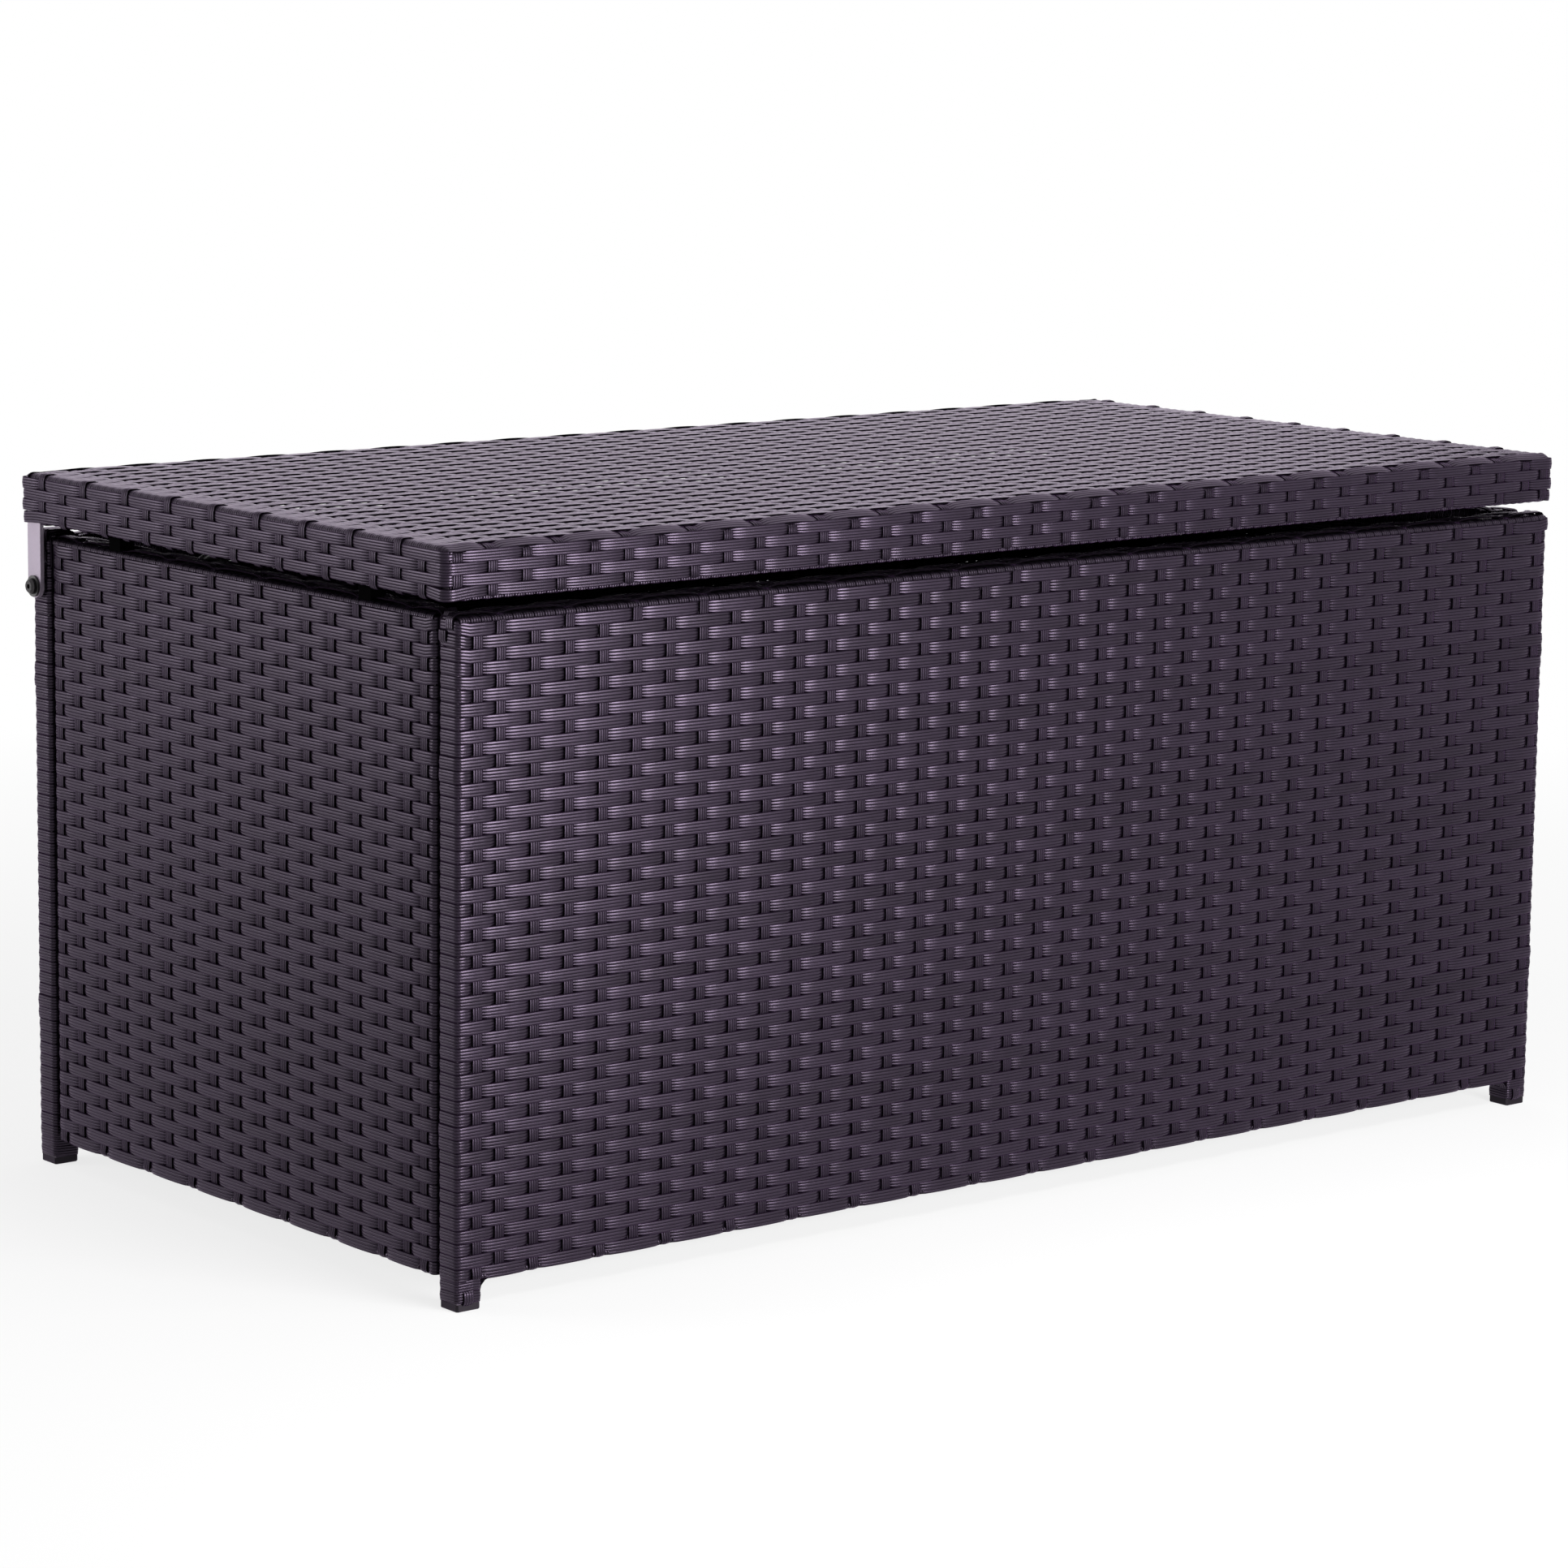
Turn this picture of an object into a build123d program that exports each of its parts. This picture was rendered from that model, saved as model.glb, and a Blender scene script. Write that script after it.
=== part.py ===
"""Deck storage box: four woven walls on welded square-tube frames, a woven lid on two flat hinge arms,
and a pair of gas struts. Millimetres. +X runs along the front to the right, -Y is the front, +Z is up.
The origin is the centre of the overall footprint, on the floor."""

import math
import os

from build123d import *

# ---- overall sizes ------------------------------------------------------------------------------
body_length = 1200.0        # outer faces of the posts' wrapping
body_depth = 615.0          # outer faces of the strand loops, front to back
body_top = 540.0            # top of the strand loops on the walls
panel_bottom = 23.5         # underside of the walls' weave
lid_overhang = 10.0         # lid past each end of the body
lid_gap = 12.0              # daylight between walls and lid
lid_height = 41.0
lid_set_back = 3.0          # lid front behind the body front; the lid is as deep as the body

# ---- flat strand and its weave ------------------------------------------------------------------
strand_width = 10.0
strand = 1.6                # strand thickness
loop_rise = 0.8             # how far a loop stands off the rows beside it
wall_rows = 50
skirt_rows = 4
lid_rows = 56
stake_pitch = 32.8          # upright strands; every second one loops over the rail
loop_start = 41.0           # first loop from the end of a wall
groove_width = 1.2
groove_depth = 0.7

# ---- tubes --------------------------------------------------------------------------------------
tube = 22.0                 # posts, stiles and rails of the walls
lid_tube = 18.0
cross_tube = 15.0
rim_bar = 10.0              # lower ring of the lid
bearer_tube = 18.0
tube_wall = 1.2
rim_wall = 1.0
wall_gap = 5.0              # dark gap between a post and the side wall's stile

# ---- feet and floor -----------------------------------------------------------------------------
foot_margin = 0.3           # foot cap past its tube on each side
foot_height = 6.0
foot_chamfer = 1.5
plug_depth = 14.0
plug_wall = 2.0
slip = 0.1                  # clearance of what slides into a tube
neck_gap = 0.5
neck_turns = 2              # turns of strand round each leg below the panel
neck_taper = 1.0
bearer_count = 3
bearer_low = 30.0
bearer_spacing = 380.0
tab_thickness = 3.0         # tabs welded to the rails, under the bearers
tab_width = 40.0
tab_reach = 30.0
floor_thickness = 4.0
floor_margin = 1.0
drain_radius = 4.0
drain_columns, drain_lines = 4, 2
drain_spacing = 260.0

# ---- wall joints --------------------------------------------------------------------------------
joint_heights = (137.0, 421.0)
joint_bolt_radius = 3.0
joint_head_radius = 5.0
joint_head_height = 3.0
joint_spacer_radius = 6.0
joint_nut_radius = 5.0
joint_nut_length = 8.0
bare_spot = 14.0            # square left bare in the wrapping around a joint
fastener_sides = 6          # sides of the smallest bars and holes, which repeat often

# ---- lid hinge ----------------------------------------------------------------------------------
pivot_drop = 41.0           # pivot below the top of the walls
arm_width = 20.0
arm_thickness = 3.5
arm_top_gap = 2.0
pivot_radius = 4.0
bush_radius = 6.0
bush_flange_radius = 9.0
bush_flange = 2.0
pivot_spacer_radius = 8.0
pivot_head_radius = 6.7
pivot_head_height = 3.8
pivot_socket = 2.3
pivot_nut_radius = 7.0
pivot_nut_length = 8.0
running = 0.05              # radial clearance of a turning or sliding fit
side_play = 0.3             # clearance beside a turning part
open_angle = 80.0

# ---- screws and pads ----------------------------------------------------------------------------
screw_radius = 2.4
screw_head_radius = 4.6
screw_head_height = 2.4
screw_length = 10.0
pad_width = 14.0
pad_length = 16.0
pad_outset = 4.0            # pad past the middle of the rail, under the lid's edge
pad_place = 5.5             # pad from the wall's middle, in stake pitches, between two loops
pad_peg = 5.0

# ---- gas struts ---------------------------------------------------------------------------------
strut_plane = 40.0          # strut centre line inboard of the end of the body
strut_base_forward = 40.0   # base stud in front of the pivot
strut_base_drop = 37.0      # base stud below the pivot
strut_lid_forward = 240.0   # lid stud in front of the pivot, lid shut
strut_lid_rise = 58.0       # lid stud above the pivot, lid shut
cylinder_radius = 8.0
cylinder_wall = 1.3
cylinder_start = 14.0       # base stud to the tube
cylinder_head = 12.0        # tube end to the lid stud, lid shut
gland_length = 12.0
strut_rod_radius = 3.5
piston_length = 8.0
rod_left_inside = 26.0      # rod still in the tube at full stretch
neck_radius = 3.2
eye_radius = 7.5
eye_thickness = 8.0
stud_radius = 4.0
stud_head = 1.5
bracket_plate = 2.5
bracket_width = 20.0
bracket_height = 44.0
bracket_screw_spacing = 28.0
standoff_radius = 6.5

# ---- places worked out from the sizes above -------------------------------------------------------
body_y = -lid_set_back / 2
lid_y = lid_set_back / 2
wrapped = tube + 2 * strand
foot_size = tube + 2 * foot_margin
wall_face = body_depth / 2                     # from body_y to the loops of the front and back walls
end_face = body_length / 2                     # from the middle to the loops of the side walls
rows_high = body_top - loop_rise
rows_low = panel_bottom
tube_low = rows_low + strand
tube_high = rows_high - strand
post_y = wall_face - loop_rise - strand - tube / 2
post_x = end_face - strand - tube / 2
post_inner_y = post_y - wrapped / 2
side_half = post_inner_y - wall_gap            # half length of a side wall
stile_y = side_half - strand - tube / 2
stile_x = end_face - loop_rise - strand - tube / 2
side_inner_x = stile_x - wrapped / 2
joint_x = (post_x + stile_x) / 2
screw_hole = screw_radius + slip

lid_low = body_top + lid_gap
lid_top = lid_low + lid_height
skirt_low = lid_low + loop_rise
weave_top = lid_top - loop_rise
frame_top = weave_top - 2 * strand
lid_face_x = end_face + lid_overhang
lid_face_y = wall_face
sheet_x = lid_face_x - loop_rise - 2 * strand  # inner face of the end skirts
sheet_y = lid_face_y - loop_rise - 2 * strand
ring_x = sheet_x - arm_thickness               # outer face of the lid frame's ends
ring_y = sheet_y
rim_low = skirt_low + strand

pivot_y = body_y + post_y
pivot_z = body_top - pivot_drop
arm_inner = ring_x
arm_outer = arm_inner + arm_thickness
flange_outer = arm_outer + bush_flange
head_seat = flange_outer + side_play
post_outer_x = post_x + tube / 2

tab_root = post_inner_y + strand               # the tabs meet the rails here
bearer_high = bearer_low + bearer_tube
bearer_end = post_inner_y - floor_margin
bearer_places = [bearer_spacing * (i - (bearer_count - 1) / 2) for i in range(bearer_count)]

strut_x = end_face - strut_plane
eye_outer = strut_x + eye_thickness / 2
eye_inner = strut_x - eye_thickness / 2
base_y, base_z = pivot_y - strut_base_forward, pivot_z - strut_base_drop
stud_y, stud_z = pivot_y - strut_lid_forward, pivot_z + strut_lid_rise
swing = math.radians(open_angle)
open_y = pivot_y - strut_lid_forward * math.cos(swing) + strut_lid_rise * math.sin(swing)
open_z = pivot_z + strut_lid_forward * math.sin(swing) + strut_lid_rise * math.cos(swing)
shut_length = math.hypot(stud_y - base_y, stud_z - base_z)
open_length = math.hypot(open_y - base_y, open_z - base_z)
stroke = open_length - shut_length
cylinder_end = shut_length - cylinder_head
rod_start = cylinder_end - rod_left_inside - stroke
strut_direction = Vector(0, stud_y - base_y, stud_z - base_z).normalized()


# ---- shared shapes --------------------------------------------------------------------------------
def square_tube(centre, length, size, wall, direction):
    """Adds one open-ended square tube, centred on a point and running along a direction."""
    across = Vector(1, 0, 0) if abs(direction[0]) < 0.5 else Vector(0, 1, 0)
    with BuildSketch(Plane(centre, x_dir=across, z_dir=direction)) as section:
        Rectangle(size, size)
        Rectangle(size - 2 * wall, size - 2 * wall, mode=Mode.SUBTRACT)
    extrude(section.sketch, amount=length / 2, both=True)


def bars(starts, direction, radius, length, mode=Mode.ADD, sides=None):
    """Adds or cuts round bars, or bars with flat sides, from points along a direction."""
    with BuildSketch(*[Plane(start, z_dir=direction) for start in starts]) as section:
        if sides:
            RegularPolygon(radius, sides)
        else:
            Circle(radius)
    extrude(section.sketch, amount=length, mode=mode)


def holes(starts, direction, radius, depth):
    """Cuts the small holes that fasteners pass through."""
    bars(starts, direction, radius, depth, Mode.SUBTRACT, fastener_sides)


def openings(starts, direction, width, height, depth):
    """Cuts upright rectangular openings, from points along a level direction."""
    across = Vector(0, 0, 1).cross(Vector(*direction))
    with BuildSketch(*[Plane(start, x_dir=across, z_dir=direction) for start in starts]) as section:
        Rectangle(width, height)
    extrude(section.sketch, amount=depth, mode=Mode.SUBTRACT)


def rings(starts, direction, outer, inner, length, sides=None, bore_sides=None):
    """Adds rings or sleeves from points along a direction: round, or with flat sides outside or inside."""
    bars(starts, direction, outer, length, sides=sides)
    bars(starts, direction, inner, length, Mode.SUBTRACT, bore_sides)


def screws(seats, direction):
    """Adds screws whose heads sit on points and whose shanks run along a direction."""
    bars(seats, Vector(*direction) * -1, screw_head_radius, screw_head_height, sides=fastener_sides)
    bars(seats, direction, screw_radius, screw_length, sides=fastener_sides)


def polygon(points):
    """Draws a closed face through points in the current sketch."""
    with BuildLine() as outline:
        Polyline(*points, close=True)
    make_face(outline.edges())


def row_edge(face, inward, low, high, rows):
    """Points up one face of a weave: each row of strand leans in a little towards the row before it."""
    pitch = (high - low) / rows
    points = [(face, low)]
    for i in range(1, rows):
        seam = low + i * pitch
        points.append((face, seam - groove_width / 2))
        points.append((face + inward * groove_depth, seam + groove_width / 2))
    return [*points, (face, high)]


def loop_places(half_length):
    """Where the strands that loop over a rail lie, along a wall or a skirt of this half length."""
    count = int((2 * half_length - 2 * loop_start) / (2 * stake_pitch)) + 1
    return [(i - (count - 1) / 2) * 2 * stake_pitch for i in range(count)]


def woven_wall(half_length, face, grooved_ends):
    """One wall's weave, facing -Y and centred on X: rows that wrap its end posts, strand loops over its
    rails, and channels for its tubes. Rows show on its ends only where the posts run on down to feet."""
    outer = face - loop_rise
    inner = outer - wrapped
    post = half_length - strand - tube / 2
    opening = half_length - wrapped
    with BuildPart() as wall:
        with BuildSketch(Plane.YZ):
            back = [(-inner, rows_high), (-inner, rows_low)]
            polygon(row_edge(-outer, 1, rows_low, rows_high, wall_rows) + back)
        extrude(amount=half_length, both=True)
        if grooved_ends:
            with BuildSketch(Plane.XZ):
                right = row_edge(half_length, -1, rows_low, rows_high, wall_rows)
                left = row_edge(-half_length, 1, rows_low, rows_high, wall_rows)
                polygon(right + left[::-1])
            extrude(amount=face, mode=Mode.INTERSECT)
        row = (rows_high - rows_low) / wall_rows
        with BuildSketch(Plane.XY.offset(rows_high - row)):
            with Locations(*[(x, -(face + inner) / 2) for x in loop_places(half_length)]):
                Rectangle(strand_width, face - inner)
        extrude(amount=row + loop_rise)
        channel_low = rows_low if grooved_ends else tube_low
        with BuildSketch(Plane.XY.offset(channel_low)):
            with Locations((-post, -(outer + inner) / 2), (post, -(outer + inner) / 2)):
                Rectangle(tube, tube)
        extrude(amount=tube_high - channel_low, mode=Mode.SUBTRACT)
        for middle in (tube_low + tube / 2, tube_high - tube / 2):
            with BuildSketch(Plane.YZ):
                with Locations((-(outer + inner) / 2, middle)):
                    Rectangle(tube, tube)
            extrude(amount=post, both=True, mode=Mode.SUBTRACT)
        with BuildSketch(Plane.XZ.offset(inner)):
            with Locations((0, (rows_low + rows_high) / 2)):
                Rectangle(2 * opening, rows_high - rows_low - 2 * wrapped)
        extrude(amount=wrapped - 2 * strand, mode=Mode.SUBTRACT)
    return wall.part


def skirt(half_sheet, half_floor, half_lip, face, bar_face):
    """One side of the lid's weave, facing -Y: the standing sheet of rows, the strip under the rim bar, and
    the lip behind it."""
    outer = face - loop_rise
    inner = outer - 2 * strand
    lip = bar_face - rim_bar - strand
    with BuildPart() as side:
        with BuildSketch(Plane.YZ):
            back = [(-inner, frame_top), (-inner, skirt_low)]
            polygon(row_edge(-outer, 1, skirt_low, frame_top, skirt_rows) + back)
        extrude(amount=half_sheet, both=True)
        with BuildSketch(Plane.YZ):
            with Locations((-(outer + lip) / 2, skirt_low + strand / 2)):
                Rectangle(outer - lip, strand)
        extrude(amount=half_floor, both=True)
        with BuildSketch(Plane.YZ):
            with Locations((-lip - strand / 2, skirt_low + (strand + rim_bar) / 2)):
                Rectangle(strand, strand + rim_bar)
        extrude(amount=half_lip, both=True)
        row = (frame_top - skirt_low) / skirt_rows
        places = loop_places(half_sheet)
        with BuildSketch(Plane.XY.offset(lid_low)):
            with Locations(*[(x, -(face + lip) / 2) for x in places]):
                Rectangle(strand_width, face - lip)
        extrude(amount=loop_rise)
        with BuildSketch(Plane.XY.offset(lid_low)):
            with Locations(*[(x, -(face + outer) / 2) for x in places]):
                Rectangle(strand_width, loop_rise)
        extrude(amount=row + loop_rise)
    return side.part


def joint_points(side, front, inward_y):
    """Points on the joint axes of one corner, at a distance from the body's middle."""
    return [(side * joint_x, body_y + front * inward_y, height) for height in joint_heights]


def tab_points(front, inward_y):
    """Middles of the floor tabs of one long wall, at a distance from the body's middle."""
    return [(x, body_y + front * inward_y, bearer_low - tab_thickness / 2) for x in bearer_places]


def bracket_points(x):
    """Points on the axes of the screws of one strut's base bracket."""
    offsets = (-bracket_screw_spacing / 2, bracket_screw_spacing / 2)
    return [(x, body_y + stile_y, base_z + offset) for offset in offsets]


def pad_points(side, z):
    """Points on the axes of the rest pads' pegs on one side wall."""
    reach = pad_place * stake_pitch
    return [(side * stile_x, body_y + front * reach, z) for front in (-1, 1)]


def save(part, name):
    """Labels a finished part and writes it to its own file."""
    part.label = name
    export_step(part, f"parts/{name}.step")


os.makedirs("parts", exist_ok=True)
sides = (("left", -1), ("right", 1))
corners = [(side, front) for side in (-1, 1) for front in (-1, 1)]

# ---- front and back frames --------------------------------------------------------------------------
long_wall = woven_wall(end_face, wall_face, True)
for name, front in (("front", -1), ("back", 1)):
    with BuildPart() as posts:
        for side in (-1, 1):
            centre = (side * post_x, body_y + front * post_y, (foot_height + tube_high) / 2)
            square_tube(centre, tube_high - foot_height, tube, tube_wall, (0, 0, 1))
            starts = joint_points(side, front, post_inner_y + strand)
            holes(starts, (0, front, 0), joint_bolt_radius + slip, tube_wall)
            if front > 0:
                start = (side * post_outer_x, pivot_y, pivot_z)
                bars([start], (-side, 0, 0), pivot_radius + slip, tube_wall, Mode.SUBTRACT)
    save(posts.part, f"{name}_posts")

    with BuildPart() as rails:
        for middle in (tube_low + tube / 2, tube_high - tube / 2):
            centre = (0, body_y + front * post_y, middle)
            square_tube(centre, 2 * post_x - tube, tube, tube_wall, (1, 0, 0))
    save(rails.part, f"{name}_rails")

    with BuildPart() as weave:
        with Locations((0, body_y, 0)):
            add(long_wall, rotation=(0, 0, 90 + 90 * front))
        starts = joint_points(-1, front, post_inner_y) + joint_points(1, front, post_inner_y)
        openings(starts, (0, front, 0), bare_spot, bare_spot, strand)
        slot = (tab_width + 2 * slip, tab_thickness + 2 * slip)
        openings(tab_points(front, post_inner_y), (0, front, 0), *slot, strand)
        if front > 0:
            for side in (-1, 1):
                start = (side * end_face, pivot_y, pivot_z)
                bars([start], (-side, 0, 0), pivot_spacer_radius + slip, strand, Mode.SUBTRACT)
    save(weave.part, f"{name}_weave")

# ---- side frames --------------------------------------------------------------------------------------
side_wall = woven_wall(side_half, end_face, False)
for name, side in sides:
    with BuildPart() as stiles:
        for front in (-1, 1):
            centre = (side * stile_x, body_y + front * stile_y, (tube_low + tube_high) / 2)
            square_tube(centre, tube_high - tube_low, tube, tube_wall, (0, 0, 1))
            starts = joint_points(side, front, stile_y - tube / 2)
            holes(starts, (0, front, 0), joint_bolt_radius + slip, tube)
        holes(bracket_points(side * (stile_x - tube / 2)), (side, 0, 0), screw_hole, tube_wall)
    save(stiles.part, f"{name}_stiles")

    with BuildPart() as rails:
        for middle in (tube_low + tube / 2, tube_high - tube / 2):
            centre = (side * stile_x, body_y, middle)
            square_tube(centre, 2 * stile_y - tube, tube, tube_wall, (0, 1, 0))
        holes(pad_points(side, tube_high), (0, 0, -1), screw_hole, tube_wall)
    save(rails.part, f"{name}_rails")

    with BuildPart() as weave:
        with Locations((0, body_y, 0)):
            add(side_wall, rotation=(0, 0, 90 * side))
        for front in (-1, 1):
            starts = joint_points(side, front, stile_y - wrapped / 2)
            openings(starts, (0, front, 0), bare_spot, bare_spot, wrapped)
        holes(bracket_points(side * side_inner_x), (side, 0, 0), screw_hole, strand)
        holes(pad_points(side, rows_high), (0, 0, -1), screw_hole, strand)
    save(weave.part, f"{name}_weave")

# ---- wall joints ----------------------------------------------------------------------------------------
with BuildPart() as joint_bolts:
    for side, front in corners:
        seats = joint_points(side, front, stile_y - tube / 2)
        bars(seats, (0, -front, 0), joint_head_radius, joint_head_height, sides=fastener_sides)
        reach = post_inner_y + strand + tube_wall + joint_nut_length - (stile_y - tube / 2)
        bars(seats, (0, front, 0), joint_bolt_radius, reach, sides=fastener_sides)
save(joint_bolts.part, "joint_bolts")

with BuildPart() as joint_spacers:
    for side, front in corners:
        starts = joint_points(side, front, stile_y + tube / 2)
        length = post_inner_y + strand - (stile_y + tube / 2)
        sizes = (joint_spacer_radius, joint_bolt_radius + slip, length)
        rings(starts, (0, front, 0), *sizes, fastener_sides, fastener_sides)
save(joint_spacers.part, "joint_spacers")

with BuildPart() as joint_nuts:
    for side, front in corners:
        starts = joint_points(side, front, post_inner_y + strand + tube_wall)
        sizes = (joint_nut_radius, joint_bolt_radius + running, joint_nut_length)
        rings(starts, (0, front, 0), *sizes, fastener_sides, fastener_sides)
save(joint_nuts.part, "joint_nuts")

# ---- feet -------------------------------------------------------------------------------------------------
leg_places = [(side * post_x, body_y + front * post_y) for side, front in corners]
with BuildPart() as foot_caps:
    with BuildSketch() as base:
        with Locations(*leg_places):
            Rectangle(foot_size, foot_size)
        chamfer(base.vertices(), foot_chamfer)
    extrude(amount=foot_height)
    chamfer(foot_caps.faces().sort_by(Axis.Z)[:len(leg_places)].edges(), foot_chamfer / 2)
    plug = tube - 2 * tube_wall - 2 * slip
    with BuildSketch(Plane.XY.offset(foot_height)):
        with Locations(*leg_places):
            Rectangle(plug, plug)
            Rectangle(plug - 2 * plug_wall, plug - 2 * plug_wall, mode=Mode.SUBTRACT)
    extrude(amount=plug_depth)
save(foot_caps.part, "foot_caps")

with BuildPart() as leg_wraps:
    foot_low = foot_height + neck_gap
    turn = (rows_low - foot_low) / neck_turns
    for i in range(neck_turns):
        with BuildSketch(Plane.XY.offset(foot_low + i * turn)):
            with Locations(*leg_places):
                Rectangle(wrapped, wrapped)
        extrude(amount=turn, taper=neck_taper)
    with BuildSketch(Plane.XY.offset(foot_low)):
        with Locations(*leg_places):
            Rectangle(tube, tube)
    extrude(amount=rows_low - foot_low, mode=Mode.SUBTRACT)
save(leg_wraps.part, "leg_wraps")

# ---- floor --------------------------------------------------------------------------------------------------
with BuildPart() as floor_tabs:
    for front in (-1, 1):
        starts = tab_points(front, tab_root)
        with BuildSketch(*[Plane(start, x_dir=(1, 0, 0), z_dir=(0, -front, 0)) for start in starts]):
            Rectangle(tab_width, tab_thickness)
        extrude(amount=tab_reach)
save(floor_tabs.part, "floor_tabs")

with BuildPart() as floor_bearers:
    for x in bearer_places:
        centre = (x, body_y, bearer_low + bearer_tube / 2)
        square_tube(centre, 2 * bearer_end, bearer_tube, tube_wall, (0, 1, 0))
save(floor_bearers.part, "floor_bearers")

with BuildPart() as floor_panel:
    with BuildSketch(Plane.XY.offset(bearer_high)):
        with Locations((0, body_y)):
            Rectangle(2 * (side_inner_x - floor_margin), 2 * (post_inner_y - floor_margin))
            with GridLocations(drain_spacing, drain_spacing, drain_columns, drain_lines):
                RegularPolygon(drain_radius, fastener_sides, mode=Mode.SUBTRACT)
    extrude(amount=floor_thickness)
save(floor_panel.part, "floor_panel")

# ---- rubber pads that the shut lid rests on -------------------------------------------------------------------
with BuildPart() as rest_pads:
    for side in (-1, 1):
        starts = pad_points(side, rows_high)
        with BuildSketch(Plane.XY.offset(rows_high)):
            with Locations(*[(x + side * pad_outset, y) for x, y, _ in starts]):
                Rectangle(pad_width, pad_length)
        extrude(amount=skirt_low - side_play - rows_high)
        bars(starts, (0, 0, -1), screw_radius, pad_peg, sides=fastener_sides)
save(rest_pads.part, "rest_pads")

# ---- lid frame ------------------------------------------------------------------------------------------------
ring_low = frame_top - lid_tube
rim_high = rim_low + rim_bar
ring_middle = frame_top - lid_tube / 2
rim_middle = rim_low + rim_bar / 2
lid_bracket_offsets = (-bracket_width / 2 + screw_head_radius, bracket_width / 2 - screw_head_radius)
lid_bracket_face = ring_x - lid_tube

with BuildPart() as lid_long_rails:
    for front in (-1, 1):
        centre = (0, lid_y + front * (ring_y - lid_tube / 2), ring_middle)
        square_tube(centre, 2 * (ring_x - lid_tube), lid_tube, tube_wall, (1, 0, 0))
save(lid_long_rails.part, "lid_long_rails")

with BuildPart() as lid_end_rails:
    for side in (-1, 1):
        centre = (side * (ring_x - lid_tube / 2), lid_y, ring_middle)
        square_tube(centre, 2 * ring_y, lid_tube, tube_wall, (0, 1, 0))
        starts = [(side * lid_bracket_face, stud_y + offset, ring_middle) for offset in lid_bracket_offsets]
        holes(starts, (side, 0, 0), screw_hole, tube_wall)
save(lid_end_rails.part, "lid_end_rails")

with BuildPart() as lid_cross_tubes:
    for x in bearer_places:
        centre = (x, lid_y, frame_top - cross_tube / 2)
        square_tube(centre, 2 * (ring_y - lid_tube), cross_tube, tube_wall, (0, 1, 0))
save(lid_cross_tubes.part, "lid_cross_tubes")

with BuildPart() as lid_rim_long_bars:
    for front in (-1, 1):
        centre = (0, lid_y + front * (ring_y - rim_bar / 2), rim_middle)
        square_tube(centre, 2 * (ring_x - rim_bar), rim_bar, rim_wall, (1, 0, 0))
save(lid_rim_long_bars.part, "lid_rim_long_bars")

with BuildPart() as lid_rim_end_bars:
    for side in (-1, 1):
        centre = (side * (ring_x - rim_bar / 2), lid_y, rim_middle)
        square_tube(centre, 2 * ring_y, rim_bar, rim_wall, (0, 1, 0))
save(lid_rim_end_bars.part, "lid_rim_end_bars")

with BuildPart() as lid_uprights:
    x_far, y_far = ring_x - rim_bar / 2, ring_y - rim_bar / 2
    along = [(x, front * y_far) for x in bearer_places for front in (-1, 1)]
    ends = [(side * x_far, front * y_far) for side, front in corners] + [(-x_far, 0), (x_far, 0)]
    with BuildSketch(Plane.XY.offset(rim_high)):
        with Locations((0, lid_y)):
            with Locations(*along, *ends):
                Rectangle(rim_bar, rim_bar)
    extrude(amount=ring_low - rim_high)
save(lid_uprights.part, "lid_uprights")

# ---- lid weave ------------------------------------------------------------------------------------------------
with BuildPart() as lid_top_weave:
    half = lid_face_y - loop_rise
    with BuildSketch(Plane.YZ):
        rows = [(lid_y + y, z) for z, y in row_edge(weave_top, -1, -half, half, lid_rows)]
        polygon([*rows, (lid_y + half, frame_top), (lid_y - half, frame_top)])
    extrude(amount=lid_face_x - loop_rise, both=True)
save(lid_top_weave.part, "lid_top_weave")

long_skirt = skirt(lid_face_x - loop_rise, sheet_x, ring_x - rim_bar - strand, lid_face_y, ring_y)
lip_y = ring_y - rim_bar - strand
end_skirt = skirt(sheet_y, lip_y, lip_y, lid_face_x, ring_x)
for name, piece, turn in (
    ("lid_front_skirt", long_skirt, 0),
    ("lid_back_skirt", long_skirt, 180),
    ("lid_left_skirt", end_skirt, -90),
    ("lid_right_skirt", end_skirt, 90),
):
    with BuildPart() as woven_skirt:
        with Locations((0, lid_y, 0)):
            add(piece, rotation=(0, 0, turn))
        if name != "lid_front_skirt":
            with BuildSketch(Plane.XY.offset(lid_low)):
                slot_middle = (arm_inner + arm_outer) / 2
                with Locations((-slot_middle, pivot_y), (slot_middle, pivot_y)):
                    Rectangle(arm_thickness + 2 * slip, arm_width + 2 * slip)
            extrude(amount=rim_low - lid_low, mode=Mode.SUBTRACT)
    save(woven_skirt.part, name)

# ---- hinge arms and pivots --------------------------------------------------------------------------------------
with BuildPart() as hinge_arms:
    rise = frame_top - arm_top_gap - pivot_z
    for side in (-1, 1):
        with BuildSketch(Plane((side * arm_inner, pivot_y, pivot_z), x_dir=(0, 1, 0), z_dir=(side, 0, 0))):
            Circle(arm_width / 2)
            with Locations((0, side * rise / 2)):
                Rectangle(arm_width, rise)
            Circle(bush_radius + running, mode=Mode.SUBTRACT)
        extrude(amount=arm_thickness)
    top_corners = hinge_arms.edges().filter_by(Axis.X).group_by(Axis.Z)[-1]
    chamfer(top_corners, arm_width / 5)
save(hinge_arms.part, "hinge_arms")

with BuildPart() as arm_bushes:
    for side in (-1, 1):
        out = (side, 0, 0)
        bars([(side * arm_inner, pivot_y, pivot_z)], out, bush_radius, arm_thickness)
        bars([(side * arm_outer, pivot_y, pivot_z)], out, bush_flange_radius, bush_flange)
        bore = (side * flange_outer, pivot_y, pivot_z)
        bars([bore], (-side, 0, 0), pivot_radius + running, arm_thickness + bush_flange, Mode.SUBTRACT)
save(arm_bushes.part, "arm_bushes")

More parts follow.
